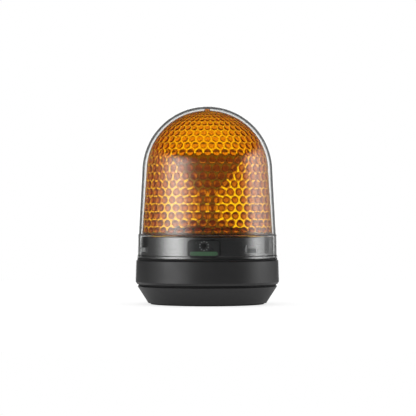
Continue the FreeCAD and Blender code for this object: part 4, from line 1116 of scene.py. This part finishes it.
def shut_line_shade():
    """A dark band of painted shade along the shut line round the plate, a closed loop with round corners."""
    top, points, faces = PLATE_FACE + PROUD, [], []
    for grow, reach in ((0.0, SHUT_LINE_FLOOR), (0.0, top), (-SHUT_LINE, top), (-SHUT_LINE, SHUT_LINE_FLOOR)):
        points += [on_wall(x * reach / PLATE_FACE, z, reach) for x, z in plate_loop(grow)]
    count = len(points) // 4
    rings = [list(range(i * count, (i + 1) * count)) for i in range(4)]
    for a, b in zip(rings, rings[1:] + rings[:1]):
        revolve_faces(faces, a, b)
    # Painted shade: a matt near-black band where the gap round the plate would lie in shade
    thing = mesh_object("Shut_Line_Painted_Shade", points, faces, SIGN_DARK_AND_GAP_SHADE, SHARP_EDGE)
    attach(thing, "base")
    print("shut line of", count, "points")


shut_line_shade()
strip = patch("Colour_Strip", rounded_lines(0.0, 35.9, 18.8, 2.7, 1.34), PLATE_FACE - SUNK,
              PLATE_FACE + STRIP_PROUD, "base", SIGN_GREEN, 14)

# %% Disc of the lamp symbol
SYMBOL_ALONG, SYMBOL_HEIGHT = 0.2, 41.1
hub = patch("Lamp_Symbol_Disc", rounded_lines(SYMBOL_ALONG, SYMBOL_HEIGHT, 3.1, 3.1, 1.54),
            PLATE_FACE - SUNK, PLATE_FACE + PROUD, "base", SIGN_DARK_AND_GAP_SHADE)

# %% Rays of the lamp symbol
RAYS, RAY_CIRCLE, RAY_SIZE, RAY_CORNER = 10, 2.95, 0.95, 0.42
for n in range(RAYS):
    turn = 2 * math.pi * (n + 0.5) / RAYS
    x, z = SYMBOL_ALONG + RAY_CIRCLE * math.cos(turn), SYMBOL_HEIGHT + RAY_CIRCLE * math.sin(turn)
    ray = patch(f"Lamp_Symbol_Ray_{n + 1}", rounded_lines(x, z, RAY_SIZE, RAY_SIZE, RAY_CORNER),
                PLATE_FACE - SUNK, PLATE_FACE + PROUD, "base", SIGN_INK_AND_HIGHLIGHT, 3)
print(RAYS, "rays")

# %% [markdown]
# ## Marks and lugs of the globe
# The globe turns a few degrees to lock. Its skirt carries a moulded crescent that shows which way, and
# three lugs inside that ride in the collar's slots. The crescent is drawn as a pale patch, a painted
# highlight where its raised side catches the light. Both belong to the globe and turn with it. The lugs
# could share the globe's clear finish, but clear blocks that small catch the lights as white specks, so
# they are frosted and bend light less.

# %% Turn mark
MARK_AT = math.radians(36.0) * 48.85
MARK_HEIGHT, MARK_REACH, MARK_BULGE, MARK_THICK = 39.8, 2.1, 1.9, 0.95
MARK_LINES, MARK_HALF_TURN = 12, 62
crescent = []
for i in range(MARK_LINES + 1):
    turn = math.radians(-MARK_HALF_TURN + 2 * MARK_HALF_TURN * i / MARK_LINES)
    outer_edge = -MARK_BULGE * math.cos(turn)
    inner_edge = outer_edge + MARK_THICK * math.cos(turn * 1.4)
    crescent.append((MARK_HEIGHT + MARK_REACH * math.sin(turn),
                     MARK_AT + 1.0 + outer_edge, MARK_AT + 1.03 + inner_edge))
# Painted highlight: a pale crescent on the skirt where the moulded mark's raised side would catch the light
mark = patch("Turn_Mark_Painted_Highlight", crescent, 48.78, 48.90, "globe_unit", SIGN_INK_AND_HIGHLIGHT, 4)
print("turn mark of", len(crescent), "lines")

# %% Lugs
LUG_DEGREES = (192, 312, 72)
LUG_INSIDE, LUG_OUTSIDE = 45.1, 46.86
LUG_HEIGHT, LUG_TALL, LUG_CORNER = 37.7, 3.0, 0.5
LUG_SPAN = math.radians(10)
LUG_CLEAR = clear("Lug_Clear", (0.74, 0.75, 0.75), 0.42, 1.28, (0.92, 0.93, 0.92))

for n, degrees in enumerate(LUG_DEGREES):
    middle = (math.radians(degrees) + math.pi / 2) * LUG_OUTSIDE
    lines = rounded_lines(middle, LUG_HEIGHT, LUG_SPAN * LUG_OUTSIDE, LUG_TALL, LUG_CORNER, 3)
    lug = patch(f"Globe_Lug_{n + 1}", lines, LUG_INSIDE, LUG_OUTSIDE, "globe_unit", LUG_CLEAR, 6)
